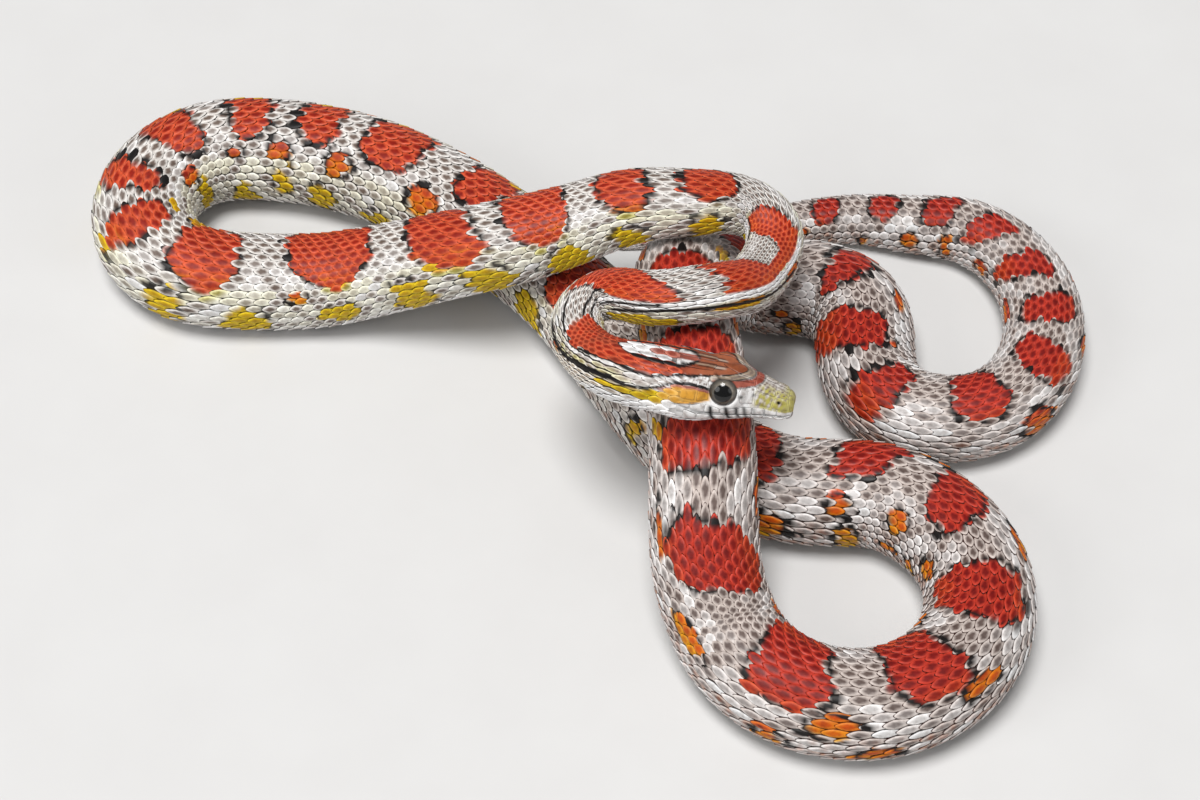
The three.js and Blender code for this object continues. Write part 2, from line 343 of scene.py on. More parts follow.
# saddles down the back: start and end in millimetres at the line of the back, how far they
# reach down the right and left side in degrees, and the slant in millimetres for 30 degrees
saddles = np.array([
    (36, 51.5, 46, 46, 3.2), (59.5, 72, 46, 56, 2.5), (87, 101, 62, 56, -3.5), (112, 121.5, 36, 46, 0),
    (126, 134, 45, 50, 0.8), (142.5, 160, 55, 50, 0.8), (165, 180, 56, 50, 1.6),
    (190, 218, 56, 50, 1.6), (230, 245, 58, 50, 0.5), (250.5, 260, 66, 20, -0.5),
    (264, 272, 64, 22, -1.5), (279.5, 289.5, 52, 32, 0.8), (297.5, 307.5, 50, 26, 0.4),
    (314, 324.5, 50, 24, 0.3), (331, 346.5, 50, 28, 0.2), (358, 369.5, 50, 18, 0),
    (377, 388, 50, 40, 0), (395, 406, 56, 44, 0), (425, 436, 50, 44, 0), (443, 453, 50, 44, 0),
    (459, 468.5, 44, 36, 1), (480, 492, 48, 14, -2.5), (503, 514.5, 52, 26, 2.0),
    (525, 539.5, 43, 56, 0.3), (549, 564, 43, 64, 0.6), (575.5, 592, 43, 64, 1.2),
    (615, 632.5, 42, 58, -1.4), (639.5, 651, 46, 60, 0.6), (657, 667, 46, 46, 0),
    (677, 688, 46, 46, 0), (699, 710, 46, 46, 0), (718, 728, 46, 60, 0), (740.5, 748, 46, 42, 0),
    (757.5, 768.5, 16, 90, -1.4), (774.5, 782, 18, 66, -1.2), (791, 803.5, 42, 42, 0),
    (811, 821.5, 28, 56, -0.3), (826.5, 835.5, 36, 40, 0.8), (841, 849.5, 62, 18, -1.2),
    (856, 865.5, 50, 10, -2.0), (871, 879, 37, 26, -0.8), (885, 892, 37, 26, -0.5),
    (899, 905.5, 50, 30, 0), (912, 917.5, 48, 40, 0), (924.5, 929, 48, 42, 0),
    (935, 939, 48, 42, 0), (944, 947, 50, 44, 0),
])  # fmt: skip

# blotches low on the sides: place, half length, nearest and furthest angle from the back, and
# how orange they are, from 0, mustard, to 1, orange and 2, red
rightBlotches = np.array([
    (21.5, 2.4, 72, 95, 1.1), (101, 4, 84, 118, 0), (118, 2.4, 62, 130, 0.2), (130, 3.6, 72, 130, 0),
    (147, 6.4, 68, 132, 0), (164.5, 4, 66, 132, 0), (181, 4.6, 62, 130, 0.1), (203, 6, 74, 108, 0),
    (215, 3.6, 56, 66, 1), (228, 4.4, 76, 132, 0), (243, 2.8, 60, 130, 0.1), (268, 4, 78, 120, 0.2),
    (284, 4.5, 78, 122, 0.3), (302, 4.5, 78, 122, 0.3), (319, 4, 78, 122, 0.3),
    (339, 5, 78, 122, 0.4), (292, 3, 48, 66, 1), (311, 3, 48, 66, 1), (327, 3, 48, 66, 1),
    (352, 3.4, 48, 66, 1), (373, 3, 48, 66, 1.1), (392, 3, 48, 66, 1.1), (416, 4, 48, 66, 1.1),
    (440, 3, 48, 66, 1.1), (474, 3.4, 48, 66, 1.1), (498, 3.4, 48, 66, 1.1), (519, 3.4, 48, 66, 1.1),
    (365, 5, 84, 122, 0.5), (400, 5, 84, 122, 0.5), (430, 5, 84, 122, 0.6), (464, 5, 84, 122, 0.7),
    (486, 5, 84, 122, 0.8), (509, 4, 84, 122, 0.9), (548.5, 4.2, 44, 64, 1), (574, 4.4, 46, 76, 0.9),
    (567, 2.6, 86, 108, 1), (583, 2.4, 84, 106, 1), (605, 8.2, 48, 70, 0.8), (630, 4, 51, 64, 1.1),
    (647, 2.6, 50, 66, 0.5), (672, 3, 52, 80, 0.8), (693, 3.4, 50, 70, 1), (713, 3.4, 50, 70, 1),
    (755, 2.2, 36, 52, 1.6), (768, 2, 20, 32, 1.8), (834.5, 4.2, 64, 84, 1.6), (856, 3.4, 70, 100, 1.4),
    (872.5, 1.5, 62, 118, 0.9), (881.5, 1.6, 60, 92, 1.1), (892.5, 1.3, 80, 112, 1.2),
    (908.5, 1.4, 60, 84, 1.2), (921, 1.3, 60, 84, 1.2), (932, 1.2, 60, 84, 1.2),
])  # fmt: skip
leftBlotches = np.array([
    (48, 6, 82, 124, 0.1), (64, 6, 66, 86, 0.6), (84, 4, 66, 90, 1.2), (106, 4, 60, 120, 0.2),
    (118, 2.4, 62, 130, 0.2), (134, 3.6, 72, 130, 0), (152, 6.4, 68, 132, 0), (172, 4, 66, 132, 0),
    (190, 4.6, 62, 130, 0.1), (207, 6, 74, 118, 0), (226, 4.4, 60, 130, 0), (246, 3.6, 34, 60, 0.4),
    (257, 3.4, 30, 44, 0.3), (276.5, 4, 42, 62, 1.5), (281, 4.2, 62, 112, 0.1), (299, 2.8, 38, 52, 1.7),
    (300.5, 3.4, 88, 128, 0), (311.5, 2.8, 30, 52, 1.5), (312.5, 2.6, 58, 96, 0.2),
    (323.5, 4, 72, 118, 0.1), (328, 3.8, 32, 60, 1.2), (341, 4.2, 84, 122, 0.1), (353, 4.4, 32, 64, 1.2),
    (376, 4, 78, 118, 0.2), (394, 5, 62, 112, 0.1), (416, 4, 60, 104, 0.3), (438.5, 2.2, 56, 84, 0.3),
    (455, 3, 60, 100, 0.7), (469, 3, 70, 104, 0.8), (481.5, 2.4, 40, 62, 1.2), (484, 3, 76, 124, 0.5),
    (501, 3.8, 40, 66, 1.1), (500, 3, 84, 98, 0.9), (510.5, 2.4, 84, 104, 0.8), (520, 3.4, 54, 80, 0.9),
    (544, 3.4, 56, 74, 1.1), (570, 3.6, 60, 78, 1.1), (603, 6, 52, 72, 1.1), (636, 3, 66, 84, 1.4),
    (532, 4, 92, 120, 1), (557, 4, 92, 120, 1), (584, 4, 92, 120, 1), (622, 5, 92, 120, 1),
    (672, 3, 56, 80, 1), (693, 3.4, 46, 64, 0.3), (730, 3, 66, 78, 1.2), (734, 2.6, 84, 118, 0.5),
    (806.5, 3, 62, 104, 1.3), (826, 2.8, 62, 90, 1.2), (842, 2.8, 60, 90, 1.2),
    (856, 2.4, 60, 90, 1.2), (872, 2, 60, 90, 1.2), (886, 2, 60, 90, 1.2), (900, 1.6, 60, 88, 1.2),
])  # fmt: skip

skin = {
    "headRings": 170,
    "snoutRings": (3.2, 44),  # the length of the snout's tip, and the rings on it
    "bodyRing": 2.45,
    "round": 160,
    "mouthDepth": 0.42,
    "mouthHalf": 0.2,
    "mouthDegree": 0.13,  # millimetres for a degree beside the mouth
    "nostril": (26.6, 56.0),  # forward of the head base, and degrees from the midline
    "nostrilDepth": 0.5,
    "nostrilDegree": 0.085,
}

patternFit = {
    "corner": 4.5,  # how square the saddles' corners are
    "taper": 0.9,  # how much a saddle narrows toward its sides
    "waist": 0.07,  # how much it is pinched at the back
    "stepped": 0.62,  # how much a scale takes one colour all over
    "ragged": 0.42,  # wander of the saddles' edges, in scales
    "edging": 0.55,  # half width of the black edging in millimetres
    "blackScales": 0.22,  # share of the scales round a saddle that are black all over
    "hindFrom": 330,
    "hindTo": 480,
    "bellyFrom": 120,
}


def nearestRows(c, rows, middles, reach=1):
    # the few rows of a sorted table that can touch each point
    at = np.clip(np.searchsorted(middles, c), 0, len(middles) - 1)
    return [rows[np.clip(at + k, 0, len(rows) - 1)] for k in range(-reach - 1, reach + 1)]


def saddleInside(c, degrees):
    # how far inside a saddle a point lies, in millimetres: shares of the length and of the reach
    # down the side, each to the power that sets how square the corners are, summed and rooted;
    # a saddle narrows toward the sides, and the largest of the neighbouring saddles counts
    middles = saddles[:, :2].mean(1)
    best = np.full(c.shape, -9.0)
    for row in nearestRows(c, saddles, middles):
        start, end, right, left, slant = np.moveaxis(row, -1, 0)
        middle = (start + end) / 2 + slant * np.clip(degrees, -60, 60) / 30
        half = (end - start) / 2
        down = np.abs(degrees) / (np.where(degrees < 0, right, left) + 4)
        point = patternFit["taper"] * (0.55 + 0.45 * np.sin(start * 1.7))
        point = np.where((degrees < 0) & (start > 185) & (start < 262), 1.25, point)
        point = np.where((degrees > 0) & (start > 500) & (start < 640), 0.25, point)
        length = np.abs(c - middle) / half + point * np.maximum(down - 0.4, 0)
        length = length + patternFit["waist"] * bump(down, 0.12, 0.2)
        corner = patternFit["corner"]
        far = (length**corner + down**corner) ** (1 / corner)
        best = np.maximum(best, (1 - far) * half)
    # two saddles join on the left of the neck
    link = np.minimum(band(c, 60, 96, 3), band(degrees, 26, 54, 4))
    return np.maximum(best, (link - 0.5) * 5)


def blotchInside(c, degrees):
    # how far inside a blotch a point lies, as for a saddle, and how orange the blotch is there
    best = np.full(c.shape, -9.0)
    hue = np.zeros(c.shape)
    for side, table in ((-1, rightBlotches), (1, leftBlotches)):
        table = table[np.argsort(table[:, 0])]
        for row in nearestRows(c, table, table[:, 0], reach=2):
            at, long, near, far, rowHue = np.moveaxis(row, -1, 0)
            span = (far - near) / 2
            lower = (side * degrees - (near + far) / 2) / span
            inside = 1 - ((np.abs(c - at) / long) ** 1.7 + np.abs(lower) ** 2.1) ** (1 / 1.9)
            inside = inside * np.minimum(long, 6)
            hue = np.where(inside > best, rowHue * (1 - 0.45 * lower), hue)
            best = np.maximum(best, inside)
    return best, hue


# curves on the head and neck, as degrees from the midline at distances along
headCurves = {
    "spear": ((-19, 0), (-18.3, 10), (-16, 19), (-13, 23), (-10, 27), (-6, 31), (-3, 40), (0, 47),
              (3, 45), (5, 39), (10, 43), (17, 49), (20, 46), (23, 38), (26, 26)),
    "nape": ((-9, 0), (-7.6, 8), (-5, 15), (0, 17), (3, 15), (4.6, 8), (5.2, 0)),
    "cheekLine": ((-12.5, 55), (-10.5, 49), (-8, 46), (-5, 49), (-2.5, 60), (0, 70), (3, 75),
                  (5, 70), (12, 75), (20, 79), (27, 75)),
    "stripeTop": ((-12.4, 60), (-9, 53), (-6, 54), (-3, 65), (0, 75), (6.5, 77)),
    "stripeLow": ((-12.4, 73), (-9, 77), (-6, 79), (-3, 84), (0, 89), (6.5, 90)),
    "lipTop": ((-29, 80), (-26, 80), (-22, 81), (-18, 84), (-13, 79), (-9, 79), (-5, 83), (0, 92),
               (7, 98), (12, 112), (30, 118)),
}  # fmt: skip
spearTip = ((-12.6, 31), (-16, 27.5), (-18.4, 19), (-19.6, 8), (-20, 0))
snoutBand = ((-16.6, 38), (-19, 34.5), (-20.6, 27), (-21.6, 13), (-21.9, 0))
# the dark seams of the upper lip: place and strength
lipSutures = ((-13.7, 1.0), (-16.9, 1.0), (-18.9, 0.85), (-20.5, 0.8), (-22.4, 0.5), (-24.6, 0.4))
# dark spots before the eye: place, length, degrees, height and strength
cheekSpots = ((-18.7, 0.45, 61, 4, 0.9), (-21.2, 0.4, 55, 4.4, 0.75), (-23.6, 0.3, 44, 3, 0.6))
degreeSize = 0.12  # millimetres for a degree on the head


def curveAt(name, c):
    # degrees from the midline to a named curve
    at, degrees = np.array(headCurves[name]).T
    return np.interp(c, at, degrees)


def strokeDistance(c, degrees, points):
    # the least distance in millimetres to a chain of straight strokes
    points = np.array(points) * (1, degreeSize)
    here = np.stack([c, degrees * degreeSize], -1)
    best = np.full(c.shape, 99.0)
    for a, b in zip(points[:-1], points[1:]):
        t = np.clip(((here - a) @ (b - a)) / ((b - a) @ (b - a)), 0, 1)
        best = np.minimum(best, np.linalg.norm(here - a - t[..., None] * (b - a), axis=-1))
    return best


def fromNostril(c, degrees):
    # millimetres from the middle of the nostril, for degrees counted from the midline
    forward, side = skin["nostril"]
    return np.hypot(-c - forward, (degrees - side) * skin["nostrilDegree"])


def ripple(c, degrees, seed):
    # a fixed wandering value from -1 to 1: three sine waves of unlike length, added
    return (
        np.sin(c * 2.1 + degrees * 0.19 + seed)
        + np.sin(c * 0.83 - degrees * 0.31 + 2.3 * seed)
        + np.sin(c * 3.7 + degrees * 0.11 - 1.7 * seed)
    ) / 3


# thin strokes on the neck: half width in millimetres, colour, and places along and round
neckStrokes = (
    (0.34, "black", ((25, 4), (31, 14), (36, 26), (41, 34))),
    (0.3, "black", ((27, 24), (33, 34), (38, 47), (41, 58))),
    (0.9, "white", ((28, 62), (34, 66), (39, 74))),
    (0.3, "black", ((23.5, -44), (27, -36), (31, -30))),
    (0.8, "white", ((41, 56), (50, 58), (60, 56), (78, 62), (94, 60))),
    (0.42, "black", ((44, 78), (52, 66), (62, 74), (78, 79), (86, 82))),
    (0.3, "black", ((41, 66), (46, 58), (52, 55))),
    (1.1, "white", ((92, -84), (100, -76), (107, -70))),
    (0.26, "black", ((91, -64), (98, -62), (106, -58))),
)


def markings(c, turn, fineC, fineTurn, luck):
    # middle, rim and gap colours at each point, laid one over another like coats of paint;
    # c and turn are drawn toward the scale's middle, fineC and fineTurn are the point's own, and
    # luck is one value from -1 to 1 for each scale, which shifts the edges of the markings
    degrees, fine = [(np.degrees(a) + 180) % 360 - 180 for a in (turn, fineTurn)]
    side, fineSide = np.abs(degrees), np.abs(fine)
    half = halfWidth(c)
    hind = smooth(patternFit["hindFrom"], patternFit["hindTo"], c)
    layers = np.zeros((3,) + c.shape + (3,))

    def lay(mask, name):
        mask = np.clip(mask, 0, 1)[..., None]
        for layer, colour in zip(layers, palette[name]):
            layer += (colour - layer) * mask

    lay(np.ones(c.shape), "pale")
    lay(hind, "taupe")
    lay(0.85 * (1 - hind) * band(side, 50, 112, 8) * np.clip(0.55 + 0.9 * luck, 0, 1), "olive")
    lay(0.5 * (1 - 0.6 * hind) * smooth(60, 100, side) * np.clip(0.4 + luck, 0, 1), "white")
    lay(0.6 * hind * smooth(62, 96, side) * smooth(0.0, 0.4, ripple(fineC, fine, 6)), "rust")
    lay((luck > 0.9 - 0.08 * hind) * band(side, 44, 92, 5) * 0.9, "black")
    ragged = patternFit["ragged"] * 0.165 * half * luck  # a scale is 0.165 of the half width
    inside = saddleInside(c, degrees) + ragged
    fineInside = saddleInside(fineC, fine) + 0.35 * ragged
    blotch, hue = blotchInside(c, degrees)
    fineBlotch = blotchInside(fineC, fine)[0]
    wander = ripple(c, degrees, 1.0)
    blotch = blotch + 1.6 * ragged + 0.3 * wander
    fineBlotch = fineBlotch + 0.5 * ragged + 0.3 * wander
    onBody = smooth(-0.5, 0.5, c - 26 - 0.085 * np.clip(degrees, -50, 60))
    lay(band(inside, -3.2, -0.9, 0.4) * smooth(8, 40, side) * (0.35 + 0.4 * luck) * onBody, "white")
    sideOnly = (inside < 0) * smooth(4, 12, c)
    blotchMask = smooth(-0.15, 0.3, blotch) * sideOnly
    lay(blotchMask, "mustard")
    lay(blotchMask * smooth(0, 1, hue), "orange")
    lay(blotchMask * smooth(1, 2, hue), "ember")
    lay(blotchMask * smooth(1.3, 2, hue), "saddle")
    edging = patternFit["edging"] * np.clip(0.62 + 1.0 * wander, 0.08, 1.4)
    edging = edging * (0.6 + 0.4 * smooth(60, 130, c)) * (1 - 0.35 * smooth(800, 860, c))
    blackScale = (np.abs(luck + 0.3 * wander) < patternFit["blackScales"]) * smooth(84, 110, c)
    dark = sideOnly * np.where(hue < 0.35, 0.9 * (wander > 0.25), 1.0)
    lay(band(blotch, -0.16 * half, -0.2, 0.06) * blackScale * dark * (wander > -0.2), "black")
    lay(band(fineBlotch + 0.2, -edging, edging, 0.06) * dark, "black")
    red = smooth(-0.15, 0.25, inside) * onBody
    lay(red, "saddle")
    lay(red * hind, "saddleHind")
    lay(red * smooth(24, 46, side) * (0.45 + 0.4 * luck) * (1 - 0.5 * hind), "ember")
    lowRight = smooth(36, 48, -degrees) * smooth(120, 150, c) * (1 - hind)
    lay(red * lowRight * (luck > 0.35) * 0.9, "mustard")
    nearBack = 0.3 + 0.7 * (1 - smooth(34, 52, side + 14 * wander))
    lay(band(inside, -0.13 * half, -0.1, 0.06) * blackScale * (nearBack > 0.6) * onBody, "black")
    lay(band(fineInside + 0.15, -edging, edging, 0.05) * onBody * (nearBack > 0.35), "black")
    # the belly is white with a loose chequer of grey
    bellyMask = smooth(patternFit["bellyFrom"], patternFit["bellyFrom"] + 6, side)
    lay(bellyMask * (1 - 0.5 * red), "white")
    block = np.sin(c * 0.42 + 0.9 * np.sign(degrees) + 1.3 * np.sin(c * 0.11))
    block = block * np.sin(np.radians(side) * 9 + 0.6)
    chequer = smooth(0.25, 0.5, block) * smooth(132, 138, side) * smooth(20, 60, c)
    lay(chequer * bellyMask * 0.8, "black")
    for wide, name, places in neckStrokes:
        lay(1 - smooth(wide * 0.8, wide * 1.3, strokeDistance(fineC, fine, places)), name)
    where = (c, degrees, fineC, fine, luck, 1 - onBody)
    cheekMarkings(lay, *where)
    crownMarkings(lay, *where, ragged)
    return layers


def cheekMarkings(lay, c, degrees, fineC, fine, luck, front):
    # the snout, the lips and the side of the head; front is 1 on the head and the first of the neck
    side, fineSide = np.abs(degrees), np.abs(fine)
    onHead = 1 - smooth(-2, 4, c)
    flow = ripple(fineC * 0.5, fine * 1.4, 4)
    lay(front, "cream")
    lay(front * (1 - smooth(-6, 8, c)), "white")
    lay(front * 0.7 * band(side, 50, 78, 5) * smooth(1, 6, c) * np.clip(0.6 + 0.6 * luck, 0, 1), "olive")
    lay(front * bump(side - curveAt("spear", c), 9, 5) * smooth(-2, 6, c), "white")
    # olive snout with grey scale middles
    snout = smooth(-20.6, -22.8, c + 0.02 * (60 - side)) * (1 - smooth(76, 81, side))
    lay(snout * onHead * 0.45, "cream")
    lay(snout * onHead * np.clip(0.2 + 1.3 * ripple(fineC * 2.4, fine * 1.7, 2), 0, 1) * 0.75, "mauve")
    oliveShare = 0.5 + 0.45 * smooth(-22, -26, c) + 1.1 * ripple(fineC * 1.7, fine, 5)
    lay(snout * onHead * np.clip(oliveShare, 0, 1) * smooth(6, 34, side), "snout")
    lay(snout * smooth(-26.6, -28.4, c) * 0.85, "snout")
    nostril = fromNostril(fineC, fineSide)
    lay(bump(nostril, 0.5, 0.16) * onHead * 0.5, "mauve")
    # painted shade: the nostril's opening is black, as shade in its pit
    lay((1 - smooth(0.24, 0.4, nostril)) * onHead, "black")
    # lips, chin and throat
    lip = smooth(-1.2, 1.2, side - curveAt("lipTop", c)) * front
    lay(lip, "white")
    lay(lip * smooth(8, 16, c) * 0.8 * (1 - smooth(112, 124, side)) * (0.6 + 0.4 * flow), "olive")
    for at, strength in lipSutures:
        slanted = at - 0.034 * (fineSide - 104)
        streak = bump(fineC, slanted, 0.5) * band(fineSide, 80, 124, 2)
        lay(streak * strength * onHead, "black")
    # the stripe behind the eye, with a blush edge above and the black line over it
    top, low = curveAt("stripeTop", c), curveAt("stripeLow", c)
    inStripe = band(side - top, 0, low - top, 1.2) * band(c, -12.6, 6.6, 0.5)
    lay(band(fineSide - low, -0.5, 1.8, 0.8) * band(c, -12, 6, 0.5) * np.clip(0.5 + flow, 0, 1), "black")
    lay(inStripe, "tan")
    lay(inStripe * smooth(-4.5, -1, c), "mustard")
    lay(band(fineSide - top, -4, 1.2, 1) * band(c, -12.4, -2, 0.6) * 0.9, "blush")
    line = np.abs(fineSide - curveAt("cheekLine", fineC)) * degreeSize
    wide = 0.27 + (0.34 + 0.3 * ripple(fineC, fine, 3)) * smooth(2, 7, c)
    lay((1 - smooth(wide, wide + 0.1, line)) * band(c, -12.4, 27, 0.6), "black")
    # grey streaks run through the cream between the spear and the black line
    creamWide = np.maximum(curveAt("cheekLine", fineC) - curveAt("spear", fineC), 6)
    share = (fineSide - curveAt("spear", fineC)) / creamWide
    streak = bump(share, 0.52 + 0.1 * np.sin(fineC * 0.9), 0.12) * band(c, -11, 24, 1)
    lay(streak * np.clip(0.6 + 0.8 * ripple(fineC, fine, 5), 0, 1), "mauve")
    speckle = np.clip(2.6 * ripple(fineC * 2.2, fine * 2.1, 8) - 0.3, 0, 1)
    lay(speckle * front * band(share, 0.15, 0.85, 0.1) * (c < 2) * 0.9, "mauve")


def crownMarkings(lay, c, degrees, fineC, fine, luck, front, ragged):
    # the red spear with its edging, and the nape stripe within it
    side, fineSide = np.abs(degrees), np.abs(fine)
    onHead = 1 - smooth(-2, 4, c)
    spearEdge = (curveAt("spear", c) - side) * degreeSize
    fineSpear = (curveAt("spear", fineC) - fineSide) * degreeSize
    reach = band(c, -19.2, 27 + 0.055 * np.clip(degrees, -30, 60), 0.4) * front
    outline = 0.34 + 0.22 * np.clip(ripple(fineC, fine, 7), -0.6, 1)
    lay(band(fineSpear + 0.22, -outline, outline, 0.06) * reach, "black")
    red = smooth(-0.1, 0.15, spearEdge + 0.3 * ragged) * reach
    lay(red, "spearFront")
    lay(red * smooth(-12, -2, c) * (0.85 + 0.15 * luck), "saddle")
    napeEdge = (curveAt("nape", c) - side) * degreeSize
    fineNape = (curveAt("nape", fineC) - fineSide) * degreeSize
    nape = smooth(0, 0.2, napeEdge) * band(c, -9, 5.2, 0.3)
    lay(band(fineNape + 0.34, -0.48, 0.48, 0.06) * band(c, -9, 6, 0.4), "black")
    lay(nape, "white")
    lay(nape * bump(fineSide, 10.5, 1.3) * band(c, -6, 3.4, 0.5) * 0.9, "black")
    lay(nape * (1 - smooth(3.5, 6, side)) * (1 - smooth(-1, 2, c)), "blush")
    lay(bump(fineSide, 4.6, 1.3) * band(c, -15, -9, 0.5) * 0.9, "black")
    lay(bump(fineSide, 8.2, 1.7) * band(c, -14.6, -8.4, 0.5), "cream")
    lay(bump(fineSide, 11.6, 1.2) * band(c, -14, -8.8, 0.5) * 0.8, "black")
    # cream round the spear's tip, then a blush band over the snout
    tipBand = strokeDistance(fineC, fineSide, spearTip)
    lay((1 - smooth(0.7, 0.84, tipBand)) * onHead, "cream")
    lay(bump(tipBand, 0.1, 0.16) * onHead * 0.85, "mauve")
    lay(bump(tipBand, 0.84, 0.15) * onHead * 0.85, "black")
    across = strokeDistance(fineC, fineSide, snoutBand)
    lay((1 - smooth(0.72, 0.98, across)) * onHead, "blush")
    lay(bump(across, 1.0, 0.17) * onHead * 0.7, "black")
    lay(band(fineC, -17.4, -12.4, 0.4) * bump(fineSide, 35.5, 1.7) * 0.85, "blush")
    for at, long, degreesOut, tall, strength in cheekSpots:
        lay(bump(fineC, at, long) * bump(fineSide, degreesOut, tall) * strength, "black")


# turning arrays into pieces


def gridQuads(rows, columns, closed=False):
    # faces between neighbouring rows and columns, outward for rows toward the tail
    index = np.arange(rows * columns).reshape(rows, columns)
    right = np.roll(index, -1, 1) if closed else index[:, 1:]
    left = index if closed else index[:, :-1]
    return np.stack([left[:-1], right[:-1], right[1:], left[1:]], -1).reshape(-1, 4)


noTris = np.zeros((0, 3), int)


def addPiece(name, points, quads, material, attributes, tris=noTris, uv=None):
    # a mesh on the root body, with smooth faces and its attributes and bake map
    mesh = bpy.data.meshes.new(name)
    corners = np.concatenate([quads.ravel(), tris.ravel()])
    starts = np.arange(len(quads)) * 4
    starts = np.concatenate([starts, quads.size + np.arange(len(tris)) * 3])
    mesh.vertices.add(len(points))
    mesh.vertices.foreach_set("co", (points * mm).astype(np.float32).ravel())
    mesh.loops.add(len(corners))
    mesh.loops.foreach_set("vertex_index", corners.astype(np.int32))
    mesh.polygons.add(len(starts))
    mesh.polygons.foreach_set("loop_start", starts.astype(np.int32))
    mesh.update(calc_edges=True)
    mesh.validate()
    mesh.polygons.foreach_set("use_smooth", np.ones(len(mesh.polygons), bool))
    for label, values in attributes.items():
        if values.ndim == 2:
            layer = mesh.attributes.new(label, "FLOAT_COLOR", "POINT")
            rgba = np.concatenate([values, np.ones((len(values), 1))], 1)
            layer.data.foreach_set("color", rgba.astype(np.float32).ravel())
        else:
            layer = mesh.attributes.new(label, "FLOAT", "POINT")
            layer.data.foreach_set("value", values.astype(np.float32))
    if uv is not None:
        layer = mesh.uv_layers.new(name="OFBake")
        layer.data.foreach_set("uv", uv[corners].astype(np.float32).ravel())
    piece = bpy.data.objects.new(name, mesh)
    bpy.context.collection.objects.link(piece)
    mesh.materials.append(material)
    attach(piece, "root")
    print(name, len(mesh.polygons), "faces")
    return piece


# materials


def put(tree, kind, **settings):
    # a new node, with values for its sockets or, where it has no such socket, its settings
    made = tree.nodes.new(kind)
    for key, value in settings.items():
        if key in made.inputs:
            made.inputs[key].default_value = value
        else:
            setattr(made, key, value)
    return made


def newGroup(name, inputs, outputs):
    # a group of nodes with named sockets
    group = bpy.data.node_groups.new(name, "ShaderNodeTree")
    for label, kind, value in inputs:
        socket = group.interface.new_socket(label, in_out="INPUT", socket_type="NodeSocket" + kind)
        socket.default_value = value
    for label, kind in outputs:
        group.interface.new_socket(label, in_out="OUTPUT", socket_type="NodeSocket" + kind)
    return group, group.nodes.new("NodeGroupInput"), group.nodes.new("NodeGroupOutput")


def noise(tree, coordinates, scale, detail=3.0, rough=0.55):
    made = put(tree, "ShaderNodeTexNoise", Scale=scale, Detail=detail, Roughness=rough)
    tree.links.new(coordinates, made.inputs["Vector"])
    return made.outputs["Fac"]


def feed(tree, socket, value):
    # a socket takes another socket's output or a plain value
    if isinstance(value, bpy.types.NodeSocket):
        tree.links.new(value, socket)
    else:
        socket.default_value = value


def remap(tree, value, low, high, outLow=0.0, outHigh=1.0):
    made = tree.nodes.new("ShaderNodeMapRange")
    tree.links.new(value, made.inputs["Value"])
    labels = ("From Min", "From Max", "To Min", "To Max")
    for label, number in zip(labels, (low, high, outLow, outHigh)):
        feed(tree, made.inputs[label], number)
    return made.outputs["Result"]


def mixColours(tree, factor, first, second, mode="MIX"):
    # a colour mix has its factor at socket 0 and its two colours at 6 and 7
    made = put(tree, "ShaderNodeMix", data_type="RGBA", blend_type=mode)
    for at, value in ((0, factor), (6, first), (7, second)):
        feed(tree, made.inputs[at], value)
    return made.outputs[2]


# keratin: fine mottling over a colour, the height of a finer grain, and broad wear
keratin, groupIn, groupOut = newGroup(
    "keratin",
    [("Colour", "Color", (0.5, 0.5, 0.5, 1)), ("Mottle", "Float", 0.2), ("Size", "Float", 1.0)],
    [("Colour", "Color"), ("Height", "Float"), ("Wear", "Float")],
)
place = keratin.nodes.new("ShaderNodeTexCoord")
sized = put(keratin, "ShaderNodeVectorMath", operation="SCALE")
keratin.links.new(place.outputs["Object"], sized.inputs[0])
keratin.links.new(groupIn.outputs["Size"], sized.inputs["Scale"])
patchy = noise(keratin, sized.outputs[0], 900, 4)
fineGrain = noise(keratin, sized.outputs[0], 4200, 2)
broad = noise(keratin, sized.outputs[0], 90, 2)
darker = mixColours(keratin, 1.0, groupIn.outputs["Colour"], (0.55, 0.5, 0.48, 1), "MULTIPLY")
amount = put(keratin, "ShaderNodeMath", operation="MULTIPLY")
keratin.links.new(remap(keratin, patchy, 0.42, 0.72), amount.inputs[0])
keratin.links.new(groupIn.outputs["Mottle"], amount.inputs[1])
mottled = mixColours(keratin, amount.outputs[0], groupIn.outputs["Colour"], darker)
keratin.links.new(mottled, groupOut.inputs["Colour"])
keratin.links.new(fineGrain, groupOut.inputs["Height"])
keratin.links.new(broad, groupOut.inputs["Wear"])

# rim and gap shade: the middle's colour runs to the rim's, then to the painted gap shade at the scale's
# foot
rimAndGapShade, groupIn, groupOut = newGroup(
    "rimAndGapShade",
    [
        ("Middle", "Color", (0.5, 0.5, 0.5, 1)), ("Rim", "Color", (0.5, 0.5, 0.5, 1)),
        ("Gap", "Color", (0, 0, 0, 1)), ("Edge", "Float", 0.0),
        ("Rim Share", "Float", 1.0), ("Gap Share", "Float", 1.0),
    ],
    [("Colour", "Color")],
)  # fmt: skip
parts = groupIn.outputs
rimShare = remap(rimAndGapShade, parts["Edge"], 0.14, 0.66, 0.0, parts["Rim Share"])
gapShadeShare = remap(rimAndGapShade, parts["Edge"], 0.81, 0.91, 0.0, parts["Gap Share"])
rimmed = mixColours(rimAndGapShade, rimShare, parts["Middle"], parts["Rim"])
shadedFoot = mixColours(rimAndGapShade, gapShadeShare, rimmed, parts["Gap"])
rimAndGapShade.links.new(shadedFoot, groupOut.inputs["Colour"])

